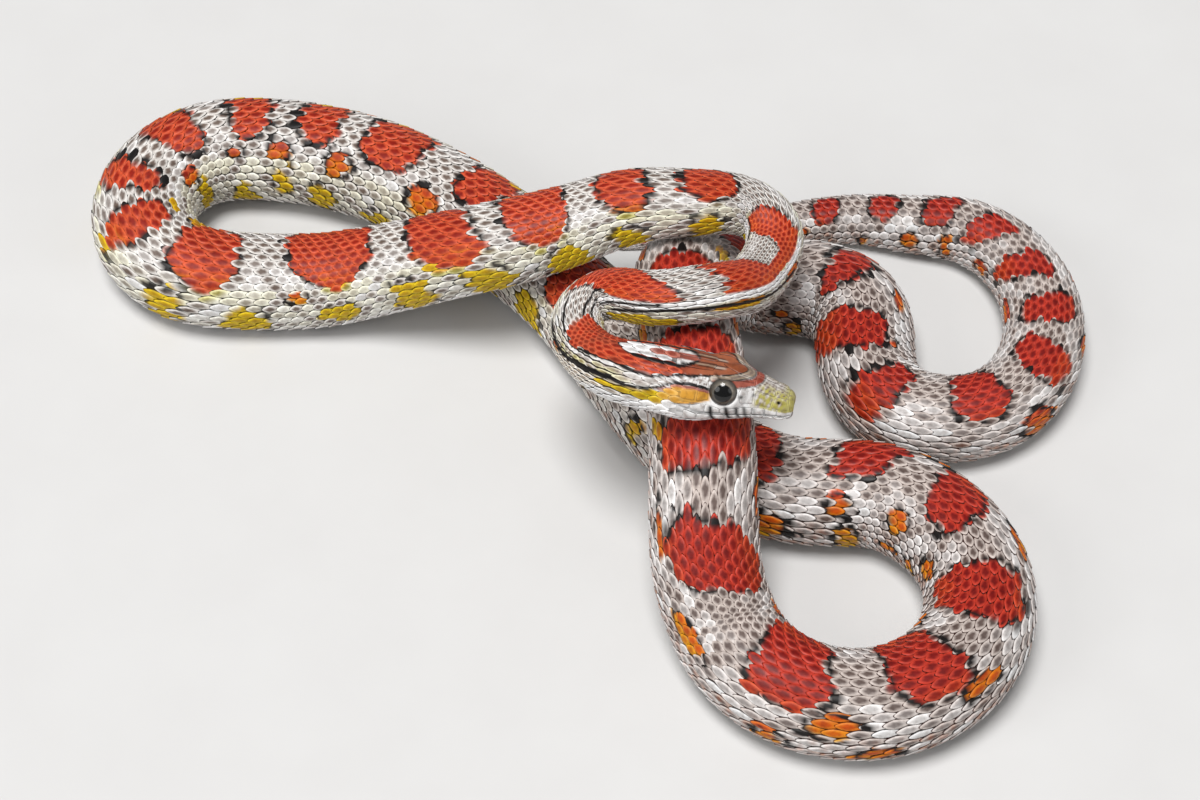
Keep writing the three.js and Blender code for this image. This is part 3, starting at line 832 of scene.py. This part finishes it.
finish = {
    # rim is how pale a scale's rim is, and gap how dark the painted shade is at its foot
    "scales": {
        "roughness": (0.42, 0.58), "mottle": 0.7, "bump": 0.12, "coat": 0.0, "rim": 0.95, "gap": 1.0,
    },
    "plates": {
        "roughness": (0.34, 0.48), "mottle": 1.0, "bump": 0.1, "coat": 0.05, "rim": 0.4, "gap": 0.85,
    },
    "skin": {
        "roughness": (0.6, 0.75), "mottle": 0.5, "bump": 0.3, "coat": 0.0, "rim": 0.5, "gap": 0.0,
    },
    "belly": {
        "roughness": (0.34, 0.48), "mottle": 0.4, "bump": 0.06, "coat": 0.05, "rim": 0.6, "gap": 0.7,
    },
}  # fmt: skip


def markedMaterial(name, look):
    # the piece's colours, its painted gap shade and its edge value, through the two groups and into the
    # shader
    material = bpy.data.materials.new(name)
    material.use_nodes = True
    tree = material.node_tree
    shader = tree.nodes["Principled BSDF"]
    rimmed = put(tree, "ShaderNodeGroup", node_tree=rimAndGapShade)
    rimmed.inputs["Rim Share"].default_value = look["rim"]
    rimmed.inputs["Gap Share"].default_value = look["gap"]
    for label, layer in (("Middle", "middleColour"), ("Rim", "rimColour"), ("Gap", "gapShadeColour")):
        read = put(tree, "ShaderNodeAttribute", attribute_name=layer)
        tree.links.new(read.outputs["Color"], rimmed.inputs[label])
    edge = put(tree, "ShaderNodeAttribute", attribute_name="edge")
    tree.links.new(edge.outputs["Fac"], rimmed.inputs["Edge"])
    grain = put(tree, "ShaderNodeGroup", node_tree=keratin)
    grain.inputs["Mottle"].default_value = look["mottle"]
    tree.links.new(rimmed.outputs["Colour"], grain.inputs["Colour"])
    tree.links.new(grain.outputs["Colour"], shader.inputs["Base Color"])
    roughness = remap(tree, grain.outputs["Wear"], 0.35, 0.65, *look["roughness"])
    tree.links.new(roughness, shader.inputs["Roughness"])
    relief = put(tree, "ShaderNodeBump", Strength=look["bump"], Distance=0.0002)
    tree.links.new(grain.outputs["Height"], relief.inputs["Height"])
    tree.links.new(relief.outputs["Normal"], shader.inputs["Normal"])
    shader.inputs["Coat Weight"].default_value = look["coat"]
    shader.inputs["Coat Roughness"].default_value = 0.22
    shader.inputs["Specular IOR Level"].default_value = 0.3
    return material


scaleFinish = markedMaterial("scaleKeratin", finish["scales"])
plateFinish = markedMaterial("headPlateKeratin", finish["plates"])
bellyFinish = markedMaterial("bellyKeratin", finish["belly"])
skinFinish = markedMaterial("bareSkin", finish["skin"])
print("skin, scale, plate and belly materials")

# the skin


def mouthLine(x):
    # degrees from the midline to the mouth, by the distance forward of the head base
    return 90 - 9 * smooth(-12, -5, -x) + 3 * bump(x, 20, 4)


def headDetail(c, turn):
    # the mouth's groove and the nostrils, as height over the skin
    degrees = np.abs(np.degrees((turn + np.pi) % (2 * np.pi) - np.pi))
    fromMouth = (degrees - mouthLine(-c)) * skin["mouthDegree"]
    groove = bump(fromMouth, 0, skin["mouthHalf"]) * (1 - smooth(-7.5, -6.2, c))
    pit = 1 - smooth(0.2, 0.52, fromNostril(c, degrees))
    return -skin["mouthDepth"] * groove - skin["nostrilDepth"] * pit


def poleCaps(rings, columns, count):
    # triangles from each end ring to a point of its own, which follows the grid's count points
    first = np.arange(columns)
    last = first + (rings - 1) * columns
    start = np.stack([np.roll(first, -1), first, np.full(columns, count)], -1)
    end = np.stack([last, np.roll(last, -1), np.full(columns, count + 1)], -1)
    return np.concatenate([start, end])


# rings stand closest together at the tip of the snout, and close together on the head
snoutEnd, snoutRings = skin["snoutRings"]
stations = np.concatenate([
    -head["length"] + snoutEnd * (1 - np.cos(np.linspace(0.03, 1, snoutRings) * np.pi / 2)),
    np.linspace(-head["length"] + snoutEnd, 0, skin["headRings"] - snoutRings)[1:],
    np.arange(1, bodyLength - 2, skin["bodyRing"]),
    bodyLength - 2 * (1 - np.sin(np.linspace(0, 0.97, 8) * np.pi / 2)),
])  # fmt: skip
around = np.linspace(-np.pi, np.pi, skin["round"], endpoint=False)
ringC, ringTurn = np.meshgrid(stations, around, indexing="ij")
skinPoints, skinNormals = skinFrame(ringC, ringTurn)
detail = headDetail(ringC, ringTurn) * (ringC < -2) * (ringC > -29.2)
skinPoints = skinPoints + skinNormals * detail[..., None]
skinPoints[..., 2] = np.maximum(skinPoints[..., 2], 0.05)
poles = np.stack([skinPoints[0].mean(0), skinPoints[-1].mean(0)])
luck = rng.uniform(-1, 1, ringC.shape)
middleColour, rimColour, gapShadeColour = markings(ringC, ringTurn, ringC, ringTurn, 0.4 * luck)
# behind the head the skin shows only between the scales, so it is painted with their gaps' painted shade
under = smooth(-9, -1, ringC)[..., None]
middleColour = blend(middleColour, gapShadeColour, under)
rimColour = blend(rimColour, gapShadeColour, under)
# painted shade: the skin's middle colour is darkened in the groove along the mouth
fromMiddle = (np.abs(np.degrees(ringTurn)) - 90) * skin["mouthDegree"]
mouthShade = bump(fromMiddle, 0, skin["mouthHalf"]) * (ringC < -6.2)
middleColour = middleColour * (1 - 0.75 * mouthShade[..., None])


def withPoles(values):
    return np.concatenate([values.reshape(-1, values.shape[-1]), values[[0, -1], 0]])


skinPiece = addPiece(
    "snake_skin",
    np.concatenate([skinPoints.reshape(-1, 3), poles]),
    gridQuads(len(stations), len(around), True),
    skinFinish,
    {
        "middleColour": withPoles(middleColour),
        "rimColour": withPoles(rimColour),
        "gapShadeColour": withPoles(gapShadeColour),
        "edge": np.full(ringC.size + 2, 0.5),
    },
    tris=poleCaps(len(stations), len(around), ringC.size),
)
fleshNodes = [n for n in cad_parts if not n.startswith("eye")]
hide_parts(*fleshNodes)

# scales

scales = {
    "rowTurn": 9.33,  # degrees between rows on the trunk
    "sideTurn": 127,  # the last row meets the belly plates here
    "pitchBase": 1.1,
    "pitchShare": 0.208,  # length of a scale over the half width, added to the base
    "spread": 0.70,  # half width of a scale over the spacing of rows
    "lift": 1.0,
    "slender": (0.1, 0.26, 0.32),  # how much narrower between saddles, on the flanks, on the neck
    "hindSlender": 0.14,  # how much narrower still on the hind flanks
    "shorten": 0.45,  # how much of that narrowing shortens a scale too
    "root": -0.62,  # where a scale begins and ends, in lengths from its middle
    "tip": 0.72,
    "plateLift": 0.12,  # height of a belly plate over the half width
    "bellyFrom": 3.0,
    "vent": 783.0,  # belly plates are whole before it and paired behind it
    "bakePatch": 0.003,
}

fineStations = np.arange(-14, bodyLength - 1.0, 0.25)
pitchHere = scales["pitchBase"] + scales["pitchShare"] * halfWidth(np.maximum(fineStations, 0))
phase = np.concatenate([[0], np.cumsum(0.25 / pitchHere[:-1])])


def pitchOf(c):
    return np.interp(c, fineStations, pitchHere)


def rowTurnAt(c):
    # rows stand further apart in degrees where the tail is thin, so that they drop out one by one
    return scales["rowTurn"] * (1 + 1.9 * smooth(820, bodyLength, c))


def laidScales(c, turn, pitch, reach, shape, lift):
    # each scale is the same small grid, laid on the skin round its own middle
    gridC = c[:, None] + shape["along"] * pitch[:, None]
    gridTurn = turn[:, None] + shape["across"] * (reach / halfWidth(np.maximum(c, 0)))[:, None]
    points, normals = skinFrame(gridC, gridTurn)
    points = points + normals * (shape["height"] * lift[:, None])[..., None]
    points[..., 2] = np.maximum(points[..., 2], 0.0)
    return gridC, gridTurn, points


# a scale's half width, over its widest, at shares of its length
leafOutline = (
    (0, 0.12, 0.3, 0.5, 0.68, 0.82, 0.93, 1),
    (0.34, 0.62, 0.9, 1, 0.93, 0.74, 0.48, 0.3),
)


def scaleShape(rows, columns, tipCurve, keel):
    # a leaf: half width grows as a rounded arch from the root and closes to a blunt tip; the
    # height climbs from the root to the tip, domed across, and drops at the rim
    root, tip = scales["root"], scales["tip"]
    rowOf, columnOf = np.meshgrid(rows, columns, indexing="ij")
    share = (rowOf - root) / (tip - root)
    profile = np.interp(share, *leafOutline)
    tall = 0.04 + 0.17 * share + 0.07 * (1 - columnOf**2) * smooth(0.05, 0.5, share)
    tall = tall + keel * bump(columnOf, 0, 0.2) * smooth(0.1, 0.4, share)
    atRim = (np.abs(columnOf) > 0.99) | (share > 0.99)
    height = np.where(atRim, tall - 0.15, tall)
    height = np.where(share < 0.01, -0.06, height)
    along = rowOf - tipCurve * columnOf**2 * smooth(0.45, 1, share)
    fromHeart = np.hypot(columnOf / 0.9, (share - 0.56) / 0.42)
    # an edge of 1 at the rim is where the painted gap shade lies
    edge = np.where(atRim, 1.0, 0.8 * smooth(0.3, 1.0, fromHeart))
    return {
        "along": along.ravel()[None],
        "across": (columnOf * profile).ravel()[None],
        "height": height.ravel()[None],
        "edge": edge.ravel(),
        "rows": len(rows),
        "columns": len(columns),
    }


leafRows = (-0.62, -0.4, -0.1, 0.2, 0.44, 0.58, 0.65, 0.72)
leafColumns = (-1, -0.8, -0.44, 0, 0.44, 0.8, 1)
leaf = scaleShape(leafRows, leafColumns, 0.1, 0.02)


def bakeMap(c, turn, lowC, highC):
    # the skin's own unwrap: across for the distance along, up for the turn
    return np.stack([(c - lowC) / (highC - lowC), (turn / (2 * np.pi) + 0.5) % 1], -1)


def addScales(name, c, turn, pitch, reach, lift, shape, material, stepped=patternFit["stepped"]):
    # stepped is how far each point's colour is drawn from its own place to the scale's middle
    gridC, gridTurn, points = laidScales(c, turn, pitch, reach, shape, lift)
    luck = rng.uniform(-1, 1, len(c))[:, None] * np.ones(gridC.shape)
    steppedC = blend(gridC, c[:, None], stepped)
    steppedTurn = blend(gridTurn, turn[:, None], stepped)
    middle, rim, gap = markings(steppedC, steppedTurn, gridC, gridTurn, luck)
    tone = (1 + 0.1 * luck)[..., None]
    one = gridQuads(shape["rows"], shape["columns"])
    offsets = np.arange(len(c)) * shape["rows"] * shape["columns"]
    quads = (one[None] + offsets[:, None, None]).reshape(-1, 4)
    # each scale bakes as a small patch where its root stands
    root = 0.01 + 0.98 * bakeMap(c, turn, c.min() - 2, c.max() + 2)
    long = scales["tip"] - scales["root"]
    patch = np.stack([shape["along"][0] / long, shape["across"][0] / 2], -1) * scales["bakePatch"]
    piece = addPiece(
        name,
        points.reshape(-1, 3),
        quads,
        material,
        {
            "middleColour": (middle * tone).reshape(-1, 3),
            "rimColour": (rim * tone).reshape(-1, 3),
            "gapShadeColour": gap.reshape(-1, 3),
            "edge": np.tile(shape["edge"], len(c)),
        },
        uv=(root[:, None] + patch[None]).reshape(-1, 2),
    )


def headSideStart(degrees):
    # where the small scales begin behind the large plates, by the angle from the back
    angles = (0, 20, 34, 52, 72, 88, 96, 118, 140, 180)
    starts = (-3.6, -4.2, -6.6, -6.8, -6.4, -5.4, -6.2, -9.5, -14, -14)
    return np.interp(np.abs(degrees), angles, starts)


# every other row is half a scale further back, and rows that would reach the belly are left out
rowNumbers = np.arange(-19, 20)
steps = np.arange(0, int(phase[-1]) + 1)
rowGrid, stepGrid = np.meshgrid(rowNumbers, steps, indexing="ij")
scaleC = np.interp(stepGrid + 0.5 * (rowGrid % 2), phase, fineStations)
scaleTurn = rowGrid * rowTurnAt(scaleC)
bellyGap = np.where(scaleC < scales["bellyFrom"], 181, scales["sideTurn"])
keep = (np.abs(scaleTurn) < bellyGap) & (scaleC > headSideStart(scaleTurn))
keep &= scaleC < bodyLength - 1.2
scaleC, scaleTurn = scaleC[keep], scaleTurn[keep]
order = np.argsort(scaleC, kind="stable")
scaleC, scaleTurn = scaleC[order], np.radians(scaleTurn[order])
scaleC = scaleC + rng.normal(0, 0.02, len(scaleC)) * pitchOf(scaleC)
pieceStarts = [-20, 130, 300, 470, 640, 800, 1000]
for number, (low, high) in enumerate(zip(pieceStarts[:-1], pieceStarts[1:]), 1):
    here = (scaleC >= low) & (scaleC < high)
    c, turn = scaleC[here], scaleTurn[here]
    pitch = pitchOf(c)
    rowGap = np.radians(rowTurnAt(c)) * halfWidth(np.maximum(c, 0))
    degrees = np.degrees(turn)
    between, flank, neck = scales["slender"]
    flank = flank + scales["hindSlender"] * smooth(patternFit["hindFrom"], patternFit["hindTo"], c)
    thin = between + (flank - between) * smooth(48, 84, np.abs(degrees))
    thin = np.maximum(thin, neck * band(c, 2, 112, 6))
    # scales are broad inside the saddles and the spear
    inSpear = (curveAt("spear", c) - np.abs(degrees)) * (c < 27)
    red = np.maximum(saddleInside(c, degrees), inSpear)
    thin = thin * (1 - smooth(-0.4, 0.4, red)) * smooth(-2, 6, c)
    pitch = pitch * (1 - scales["shorten"] * thin)
    reach = rowGap * scales["spread"] * (1 - thin)
    reach = reach * (1 + 0.04 * rng.standard_normal(len(c)))
    lift = rowGap * scales["lift"] * (1 + 0.06 * rng.standard_normal(len(c)))
    addScales("body_scales_%d" % number, c, turn, pitch, reach, lift, leaf, scaleFinish)

# belly plates, one to each row of scales, then a pair to each under the tail
plateRows = (-0.62, -0.25, 0.15, 0.45, 0.66, 0.72)
plate = scaleShape(plateRows, np.linspace(-1, 1, 15), 0.05, 0.0)
halfPlate = scaleShape(plateRows, (-1, -0.93, -0.6, -0.2, 0.2, 0.6, 0.93, 1), 0.12, 0.0)
for shape in (plate, halfPlate):
    shape["across"] = np.clip(shape["across"] * 1.5, -1, 1)  # straight sides, unlike a leaf's
bellyC = np.interp(steps + 0.25, phase, fineStations)
bellyC = bellyC[(bellyC > scales["bellyFrom"]) & (bellyC < bodyLength - 2)]
wholeC = bellyC[bellyC < scales["vent"]]
pairC = np.repeat(bellyC[bellyC >= scales["vent"]], 2)
pairSide = np.tile([-1.0, 1.0], len(pairC) // 2)
plateReach = np.radians(186 - scales["sideTurn"])
addScales(
    "belly_plates", wholeC, np.full(len(wholeC), np.pi), pitchOf(wholeC) * 0.98,
    plateReach * halfWidth(wholeC), halfWidth(wholeC) * scales["plateLift"],
    plate, bellyFinish, stepped=0.0,
)  # fmt: skip
addScales(
    "tail_plates", pairC, np.pi + pairSide * plateReach * 0.49, pitchOf(pairC),
    plateReach * 0.51 * halfWidth(pairC), halfWidth(pairC) * scales["plateLift"],
    halfPlate, bellyFinish, stepped=0.0,
)  # fmt: skip

# head plates

# corners of each plate on the snake's right, as millimetres forward and degrees from the midline
topPlates = {
    "frontal": ((21.2, -16), (21.2, 16), (17.6, 15.5), (13.6, 0), (17.6, -15.5)),
    "internasal": ((28.2, 1), (28.0, 38), (25.9, 42), (25.7, 1)),
    "prefrontal": ((25.6, 1), (25.7, 44), (21.6, 44), (20.9, 19), (21.3, 1)),
    "supraocular": (
        (20.7, 19), (21.2, 33), (18.4, 34), (15, 31), (12.2, 32), (12.4, 17), (17.4, 17.5),
    ),
    "parietal": ((13.3, 1), (16.6, 14.5), (12.2, 16), (11.4, 31), (7.4, 34), (4.3, 20), (4.0, 1)),
    "nasal": ((28.1, 41), (28.6, 73), (25.2, 75), (25.6, 45)),
    "loreal": ((25.3, 47), (25.0, 74), (21.6, 75), (21.5, 46)),
    "preocular": ((21.2, 38), (21.3, 74), (18.7, 74), (18.1, 56), (18.5, 38)),
    "upperPostocular": ((11.9, 35), (12.0, 52), (9.9, 53), (9.7, 36)),
    "lowerPostocular": ((11.9, 54), (12.4, 71), (9.9, 73), (9.9, 54)),
    "upperTemporal": ((9.6, 38), (9.6, 53), (6.6, 53), (6.9, 38)),
    "lowerTemporal": ((9.6, 55), (9.6, 72), (6.4, 71), (6.5, 55)),
}  # fmt: skip
rostralPlate = (
    (28.3, -34), (28.3, 34), (28.9, 74), (29.3, 87),
    (29.75, 87), (29.75, -87), (29.3, -87), (28.9, -74),
)  # fmt: skip
# the lip plates' ends, forward of the head base, and how far each row reaches from the mouth
lipEnds = (28.6, 26.5, 24.0, 21.4, 18.3, 15.0, 11.8, 8.8, 5.8)
lipHeights = (75, 76, 77, 79, 82, 82.5, 77, 74.5, 76)
jawEnds = (28.2, 26.0, 23.7, 21.3, 18.8, 16.0, 13.2, 10.4, 7.6)
jawLows = (110, 112, 113, 114, 114, 114, 113, 112, 112)
chinPlates = {
    "frontChin": ((26.4, 178), (26.2, 140), (23.6, 118), (20.6, 128), (20.4, 178)),
    "rearChin": ((20.0, 176), (20.2, 132), (17.4, 124), (14.4, 140), (14.6, 168)),
}
mentalPlate = (
    (28.3, 158), (28.3, 202), (28.8, 250), (29.5, 266), (29.75, 180), (29.5, 94), (28.8, 110),
)  # fmt: skip
plateForm = {
    "gap": 0.07,
    "mouthGap": 1.6,  # degrees between the mouth and the plates beside it
    "thick": 0.17,
    "dome": 0.1,
    "rings": 15,
    "spokes": 60,
    "corner": 16,  # how sharp the corners are
}


def lipRow(ends, outer, sign):  # sign is -1 above the mouth and 1 below it
    # a row of plates between the mouth and a boundary, one quadrilateral each
    plates = {}
    fromMouth = sign * plateForm["mouthGap"]
    for i, (front, back) in enumerate(zip(ends[:-1], ends[1:])):
        plates["lip%d" % i] = (
            (front - 0.02, outer[i]), (front, mouthLine(front) + fromMouth),
            (back, mouthLine(back) + fromMouth), (back - 0.02, outer[i + 1]),
        )  # fmt: skip
    return plates


def addPlates(name, outlines):
    # each plate is a polar grid: from its middle out to its outline, where a direction's reach
    # is a soft least of the distances to the sides; a low dome that drops at the rim
    # short outlines repeat their last corner, so that all fit one array
    count = max(len(o) for o in outlines)
    corners = np.array([list(o) + [o[-1]] * (count - len(o)) for o in outlines], float)
    middle = np.array([np.mean(np.array(o, float), 0) for o in outlines])
    narrower = np.interp(middle[:, 0], [0, 12, 20, 26, 29.8], [1.1, 1.1, 0.86, 0.66, 0.5])
    size = degreeSize * narrower  # millimetres for a degree, less toward the snout
    flatCorners = (corners - middle[:, None]) * np.stack([np.ones(len(size)), size], -1)[:, None]
    following = np.roll(flatCorners, -1, 1)
    run = following - flatCorners
    length = np.linalg.norm(run, axis=-1)
    real = length > 1e-6
    normal = np.stack([run[..., 1], -run[..., 0]], -1) / np.where(real, length, 1)[..., None]
    away = (normal * flatCorners).sum(-1)
    normal = normal * np.sign(away)[..., None]
    away = np.abs(away) - plateForm["gap"]
    spokes = np.linspace(0, 2 * np.pi, plateForm["spokes"], endpoint=False)
    direction = np.stack([np.cos(spokes), np.sin(spokes)])
    facing = np.maximum(normal @ direction, 0)
    nearness = np.where(real[..., None], facing / np.maximum(away, 0.02)[..., None], 0)
    reach = (nearness ** plateForm["corner"]).sum(1) ** (-1 / plateForm["corner"])
    ring = np.concatenate([np.linspace(0.04, 0.86, plateForm["rings"] - 3), [0.94, 0.985, 1.0]])
    out = reach[:, None] * ring[None, :, None]
    x = middle[:, 0, None, None] + out * direction[0]
    degrees = middle[:, 1, None, None] + out * direction[1] / size[:, None, None]
    rise = plateForm["thick"] * np.where(ring > 0.99, -0.4, 1 - smooth(0.9, 1.02, ring) * 0.55)
    rise = rise + plateForm["dome"] * (1 - ring**2)
    c, turn = -x, -np.radians(degrees)
    points, normals = skinFrame(c, turn)
    nostril = headDetail(c, turn) * (np.abs(np.degrees(turn)) < 78)
    points = points + normals * (rise[None, :, None] + nostril)[..., None]
    hubPoints = points[:, 0].mean(1)
    luck = rng.uniform(-1, 1, len(outlines))[:, None, None] * np.ones(c.shape)
    colours = markings(c, turn, c, turn, 0.3 * luck)
    # each plate's rim takes the painted gap shade
    edge = np.where(ring > 0.97, 1.0, 0.8 * ring**6)[None, :, None] * np.ones(c.shape)
    # faces of all the plates, with a fan of triangles round each one's own middle point
    plateSize = ring.size * spokes.size
    offsets = (np.arange(len(outlines)) * plateSize)[:, None, None]
    quads = (gridQuads(ring.size, spokes.size, True)[None] + offsets).reshape(-1, 4)
    first = np.arange(spokes.size)
    fan = np.stack([np.roll(first, -1), first], -1)[None] + offsets
    hub = len(outlines) * plateSize + np.arange(len(outlines))
    hub = np.broadcast_to(hub[:, None, None], fan.shape[:2] + (1,))
    labels = ("middleColour", "rimColour", "gapShadeColour")
    attributes = {
        label: np.concatenate([colour.reshape(-1, 3), colour[:, 0, 0]])
        for label, colour in zip(labels, colours)
    }
    attributes["edge"] = np.concatenate([edge.ravel(), np.zeros(len(outlines))])
    allC = np.concatenate([c.ravel(), c[:, 0].mean(1)])
    allTurn = np.concatenate([turn.ravel(), turn[:, 0].mean(1)])
    piece = addPiece(
        name,
        np.concatenate([points.reshape(-1, 3), hubPoints]),
        quads,
        plateFinish,
        attributes,
        tris=np.concatenate([fan, hub], -1).reshape(-1, 3),
        uv=bakeMap(allC, allTurn, -31, 3),
    )


def bothSides(plates):
    # each outline and its mirror image on the other side
    outlines = list(plates.values())
    return outlines + [tuple((x, -a) for x, a in outline) for outline in outlines]


paired = {name: outline for name, outline in topPlates.items() if name != "frontal"}
headOutlines = [topPlates["frontal"], rostralPlate] + bothSides(paired)
headOutlines += bothSides(lipRow(lipEnds, lipHeights, -1))
addPlates("head_plates", headOutlines)
chinOutlines = [mentalPlate] + bothSides(chinPlates) + bothSides(lipRow(jawEnds, jawLows, 1))
addPlates("chin_plates", chinOutlines)

# eyes

eye = {
    "pupil": 1.85,  # radius in millimetres
    "irisEdge": 2.85,
    "irisInner": (112, 105, 95),
    "irisOuter": (58, 54, 50),
    "black": 0.004,
    "iris": 1.7,  # the angle from straight out at which the iris ends, in radians
    "rings": 40,
    "round": 72,
}


def eyeMaterial():
    # a speckled iris and a plain pupil under a clear coat
    material = bpy.data.materials.new("eyeball")
    material.use_nodes = True
    tree = material.node_tree
    shader = tree.nodes["Principled BSDF"]
    colour = put(tree, "ShaderNodeAttribute", attribute_name="middleColour")
    place = tree.nodes.new("ShaderNodeTexCoord")
    flecks = noise(tree, place.outputs["Object"], 1800, 4)
    speckle = remap(tree, flecks, 0.45, 0.7, 0.0, 0.5)
    speckled = mixColours(tree, speckle, colour.outputs["Color"], (0.05, 0.045, 0.04, 1))
    masked = put(tree, "ShaderNodeAttribute", attribute_name="edge")
    final = mixColours(tree, masked.outputs["Fac"], colour.outputs["Color"], speckled)
    tree.links.new(final, shader.inputs["Base Color"])
    shader.inputs["Roughness"].default_value = 0.12
    shader.inputs["Specular IOR Level"].default_value = 0.3
    shader.inputs["Coat Weight"].default_value = 0.35
    shader.inputs["Coat Roughness"].default_value = 0.02
    return material


eyeFinish = eyeMaterial()
# values shared by both eyes, on the ball's grid
radius = head["eyeRadius"]
depth = radius * head["eyeDepth"]
polar = np.linspace(0.03, np.pi - 0.03, eye["rings"])
spin = np.linspace(0, 2 * np.pi, eye["round"], endpoint=False)
fromOut, aboutOut = np.meshgrid(polar, spin, indexing="ij")
flatRadius = np.sin(fromOut) * radius
outerShare = smooth(eye["pupil"], eye["irisEdge"], flatRadius)[..., None]
iris = blend(linear(eye["irisInner"]), linear(eye["irisOuter"]), outerShare)
# painted light: the iris is lighter on its upper half and darker on its lower, and a little lighter
# toward the front
iris = iris * (1 + 0.45 * np.sin(aboutOut) + 0.25 * np.cos(aboutOut))[..., None]
inPupil = (1 - smooth(eye["pupil"] - 0.05, eye["pupil"] + 0.05, flatRadius))[..., None]
eyeColour = blend(iris, eye["black"], inPupil) * (fromOut < eye["iris"])[..., None]
eyeColour = np.concatenate([eyeColour.reshape(-1, 3), [[eye["black"]] * 3, [0.0] * 3]])
speckleMask = np.concatenate([(1 - inPupil).ravel(), [0, 0]])
for name, sign in (("eye_left", 1), ("eye_right", -1)):
    # a flattened ball about the eye's middle: an angle from straight out, and one round that line
    level = np.cross(eyeLine, (0, 0, 1))
    axes = unit(np.stack([level, np.cross(level, eyeLine), eyeLine]))
    ball = np.stack([
        flatRadius * np.cos(aboutOut), flatRadius * np.sin(aboutOut), depth * np.cos(fromOut),
    ], -1) @ axes  # fmt: skip
    points = np.concatenate([ball.reshape(-1, 3), np.outer([1, -1], eyeLine) * depth])
    points = (points + head["eye"]) * (1, sign, 1) @ headTurn.T + headPlace
    quads = gridQuads(polar.size, spin.size, True)
    tris = poleCaps(polar.size, spin.size, fromOut.size)
    if sign > 0:
        quads, tris = quads[:, ::-1], tris[:, ::-1]
    attributes = {"middleColour": eyeColour, "edge": speckleMask}
    piece = addPiece(name + "_ball", points, quads, eyeFinish, attributes, tris=tris)
    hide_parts(name)

# floor, light and camera

studio = {
    "floorHalf": 3,
    "floorColours": ((0.62, 0.61, 0.6, 1), (0.66, 0.655, 0.645, 1)),
    "sun": (-0.15, -0.2, 1.15),  # a broad soft sun stands in for a ceiling of light
    "sunWidth": 26,
    "sunEnergy": 3.0,
    "panels": {"window": ((-0.8, -0.6, 0.7), 3.2), "fill": ((0.8, -0.7, 0.6), 1.2)},
    "panelSize": 0.7,
    "airColour": (0.97, 0.98, 1.0, 1),
    "airStrength": 0.21,
}

floorMesh = bpy.data.meshes.new("floor")
reach = studio["floorHalf"]
floorCorners = [(-reach, -reach, 0), (reach, -reach, 0), (reach, reach, 0), (-reach, reach, 0)]
floorMesh.from_pydata(floorCorners, [], [(0, 1, 2, 3)])
floor = bpy.data.objects.new("floor", floorMesh)
bpy.context.collection.objects.link(floor)
floorFinish = bpy.data.materials.new("paleFloor")
floorFinish.use_nodes = True
floorTree = floorFinish.node_tree
floorShader = floorTree.nodes["Principled BSDF"]
floorPlace = floorTree.nodes.new("ShaderNodeTexCoord")
floorGrain = noise(floorTree, floorPlace.outputs["Object"], 40, 3)
floorColour = mixColours(floorTree, floorGrain, *studio["floorColours"])
floorTree.links.new(floorColour, floorShader.inputs["Base Color"])
floorShader.inputs["Roughness"].default_value = 0.8
floorMesh.materials.append(floorFinish)

sunData = bpy.data.lights.new("overhead", "SUN")
sunData.angle = np.radians(studio["sunWidth"])
sunData.energy = studio["sunEnergy"]
lamps = [(sunData, studio["sun"])]
for name, (place, watts) in studio["panels"].items():
    panel = bpy.data.lights.new(name, "AREA")
    panel.shape = "DISK"
    panel.size = studio["panelSize"]
    panel.energy = watts
    lamps.append((panel, place))
for data, place in lamps:
    lamp = bpy.data.objects.new(data.name, data)
    bpy.context.collection.objects.link(lamp)
    lamp.location = place
    lamp.rotation_euler = (-lamp.location).to_track_quat("-Z", "Y").to_euler()

world = bpy.data.worlds.new("studio")
world.use_nodes = True
air = world.node_tree.nodes["Background"]
air.inputs["Color"].default_value = studio["airColour"]
air.inputs["Strength"].default_value = studio["airStrength"]
bpy.context.scene.world = world
bpy.context.scene.view_settings.view_transform = "Standard"

view = {"elevation": 50, "distance": 650, "lens": 87.75, "target": (4.296, -0.858, 12.0)}
cameraData = bpy.data.cameras.new("camera")
cameraData.sensor_width = 36
cameraData.lens = view["lens"]
cameraData.clip_start = 0.01
camera = bpy.data.objects.new("camera", cameraData)
bpy.context.collection.objects.link(camera)
tilt = np.radians(view["elevation"])
back = np.array([0, -np.cos(tilt), np.sin(tilt)]) * view["distance"]
camera.location = (np.array(view["target"]) + back) * mm
camera.rotation_euler = (np.pi / 2 - tilt, 0, 0)
bpy.context.scene.camera = camera

print("floor, lights and camera")
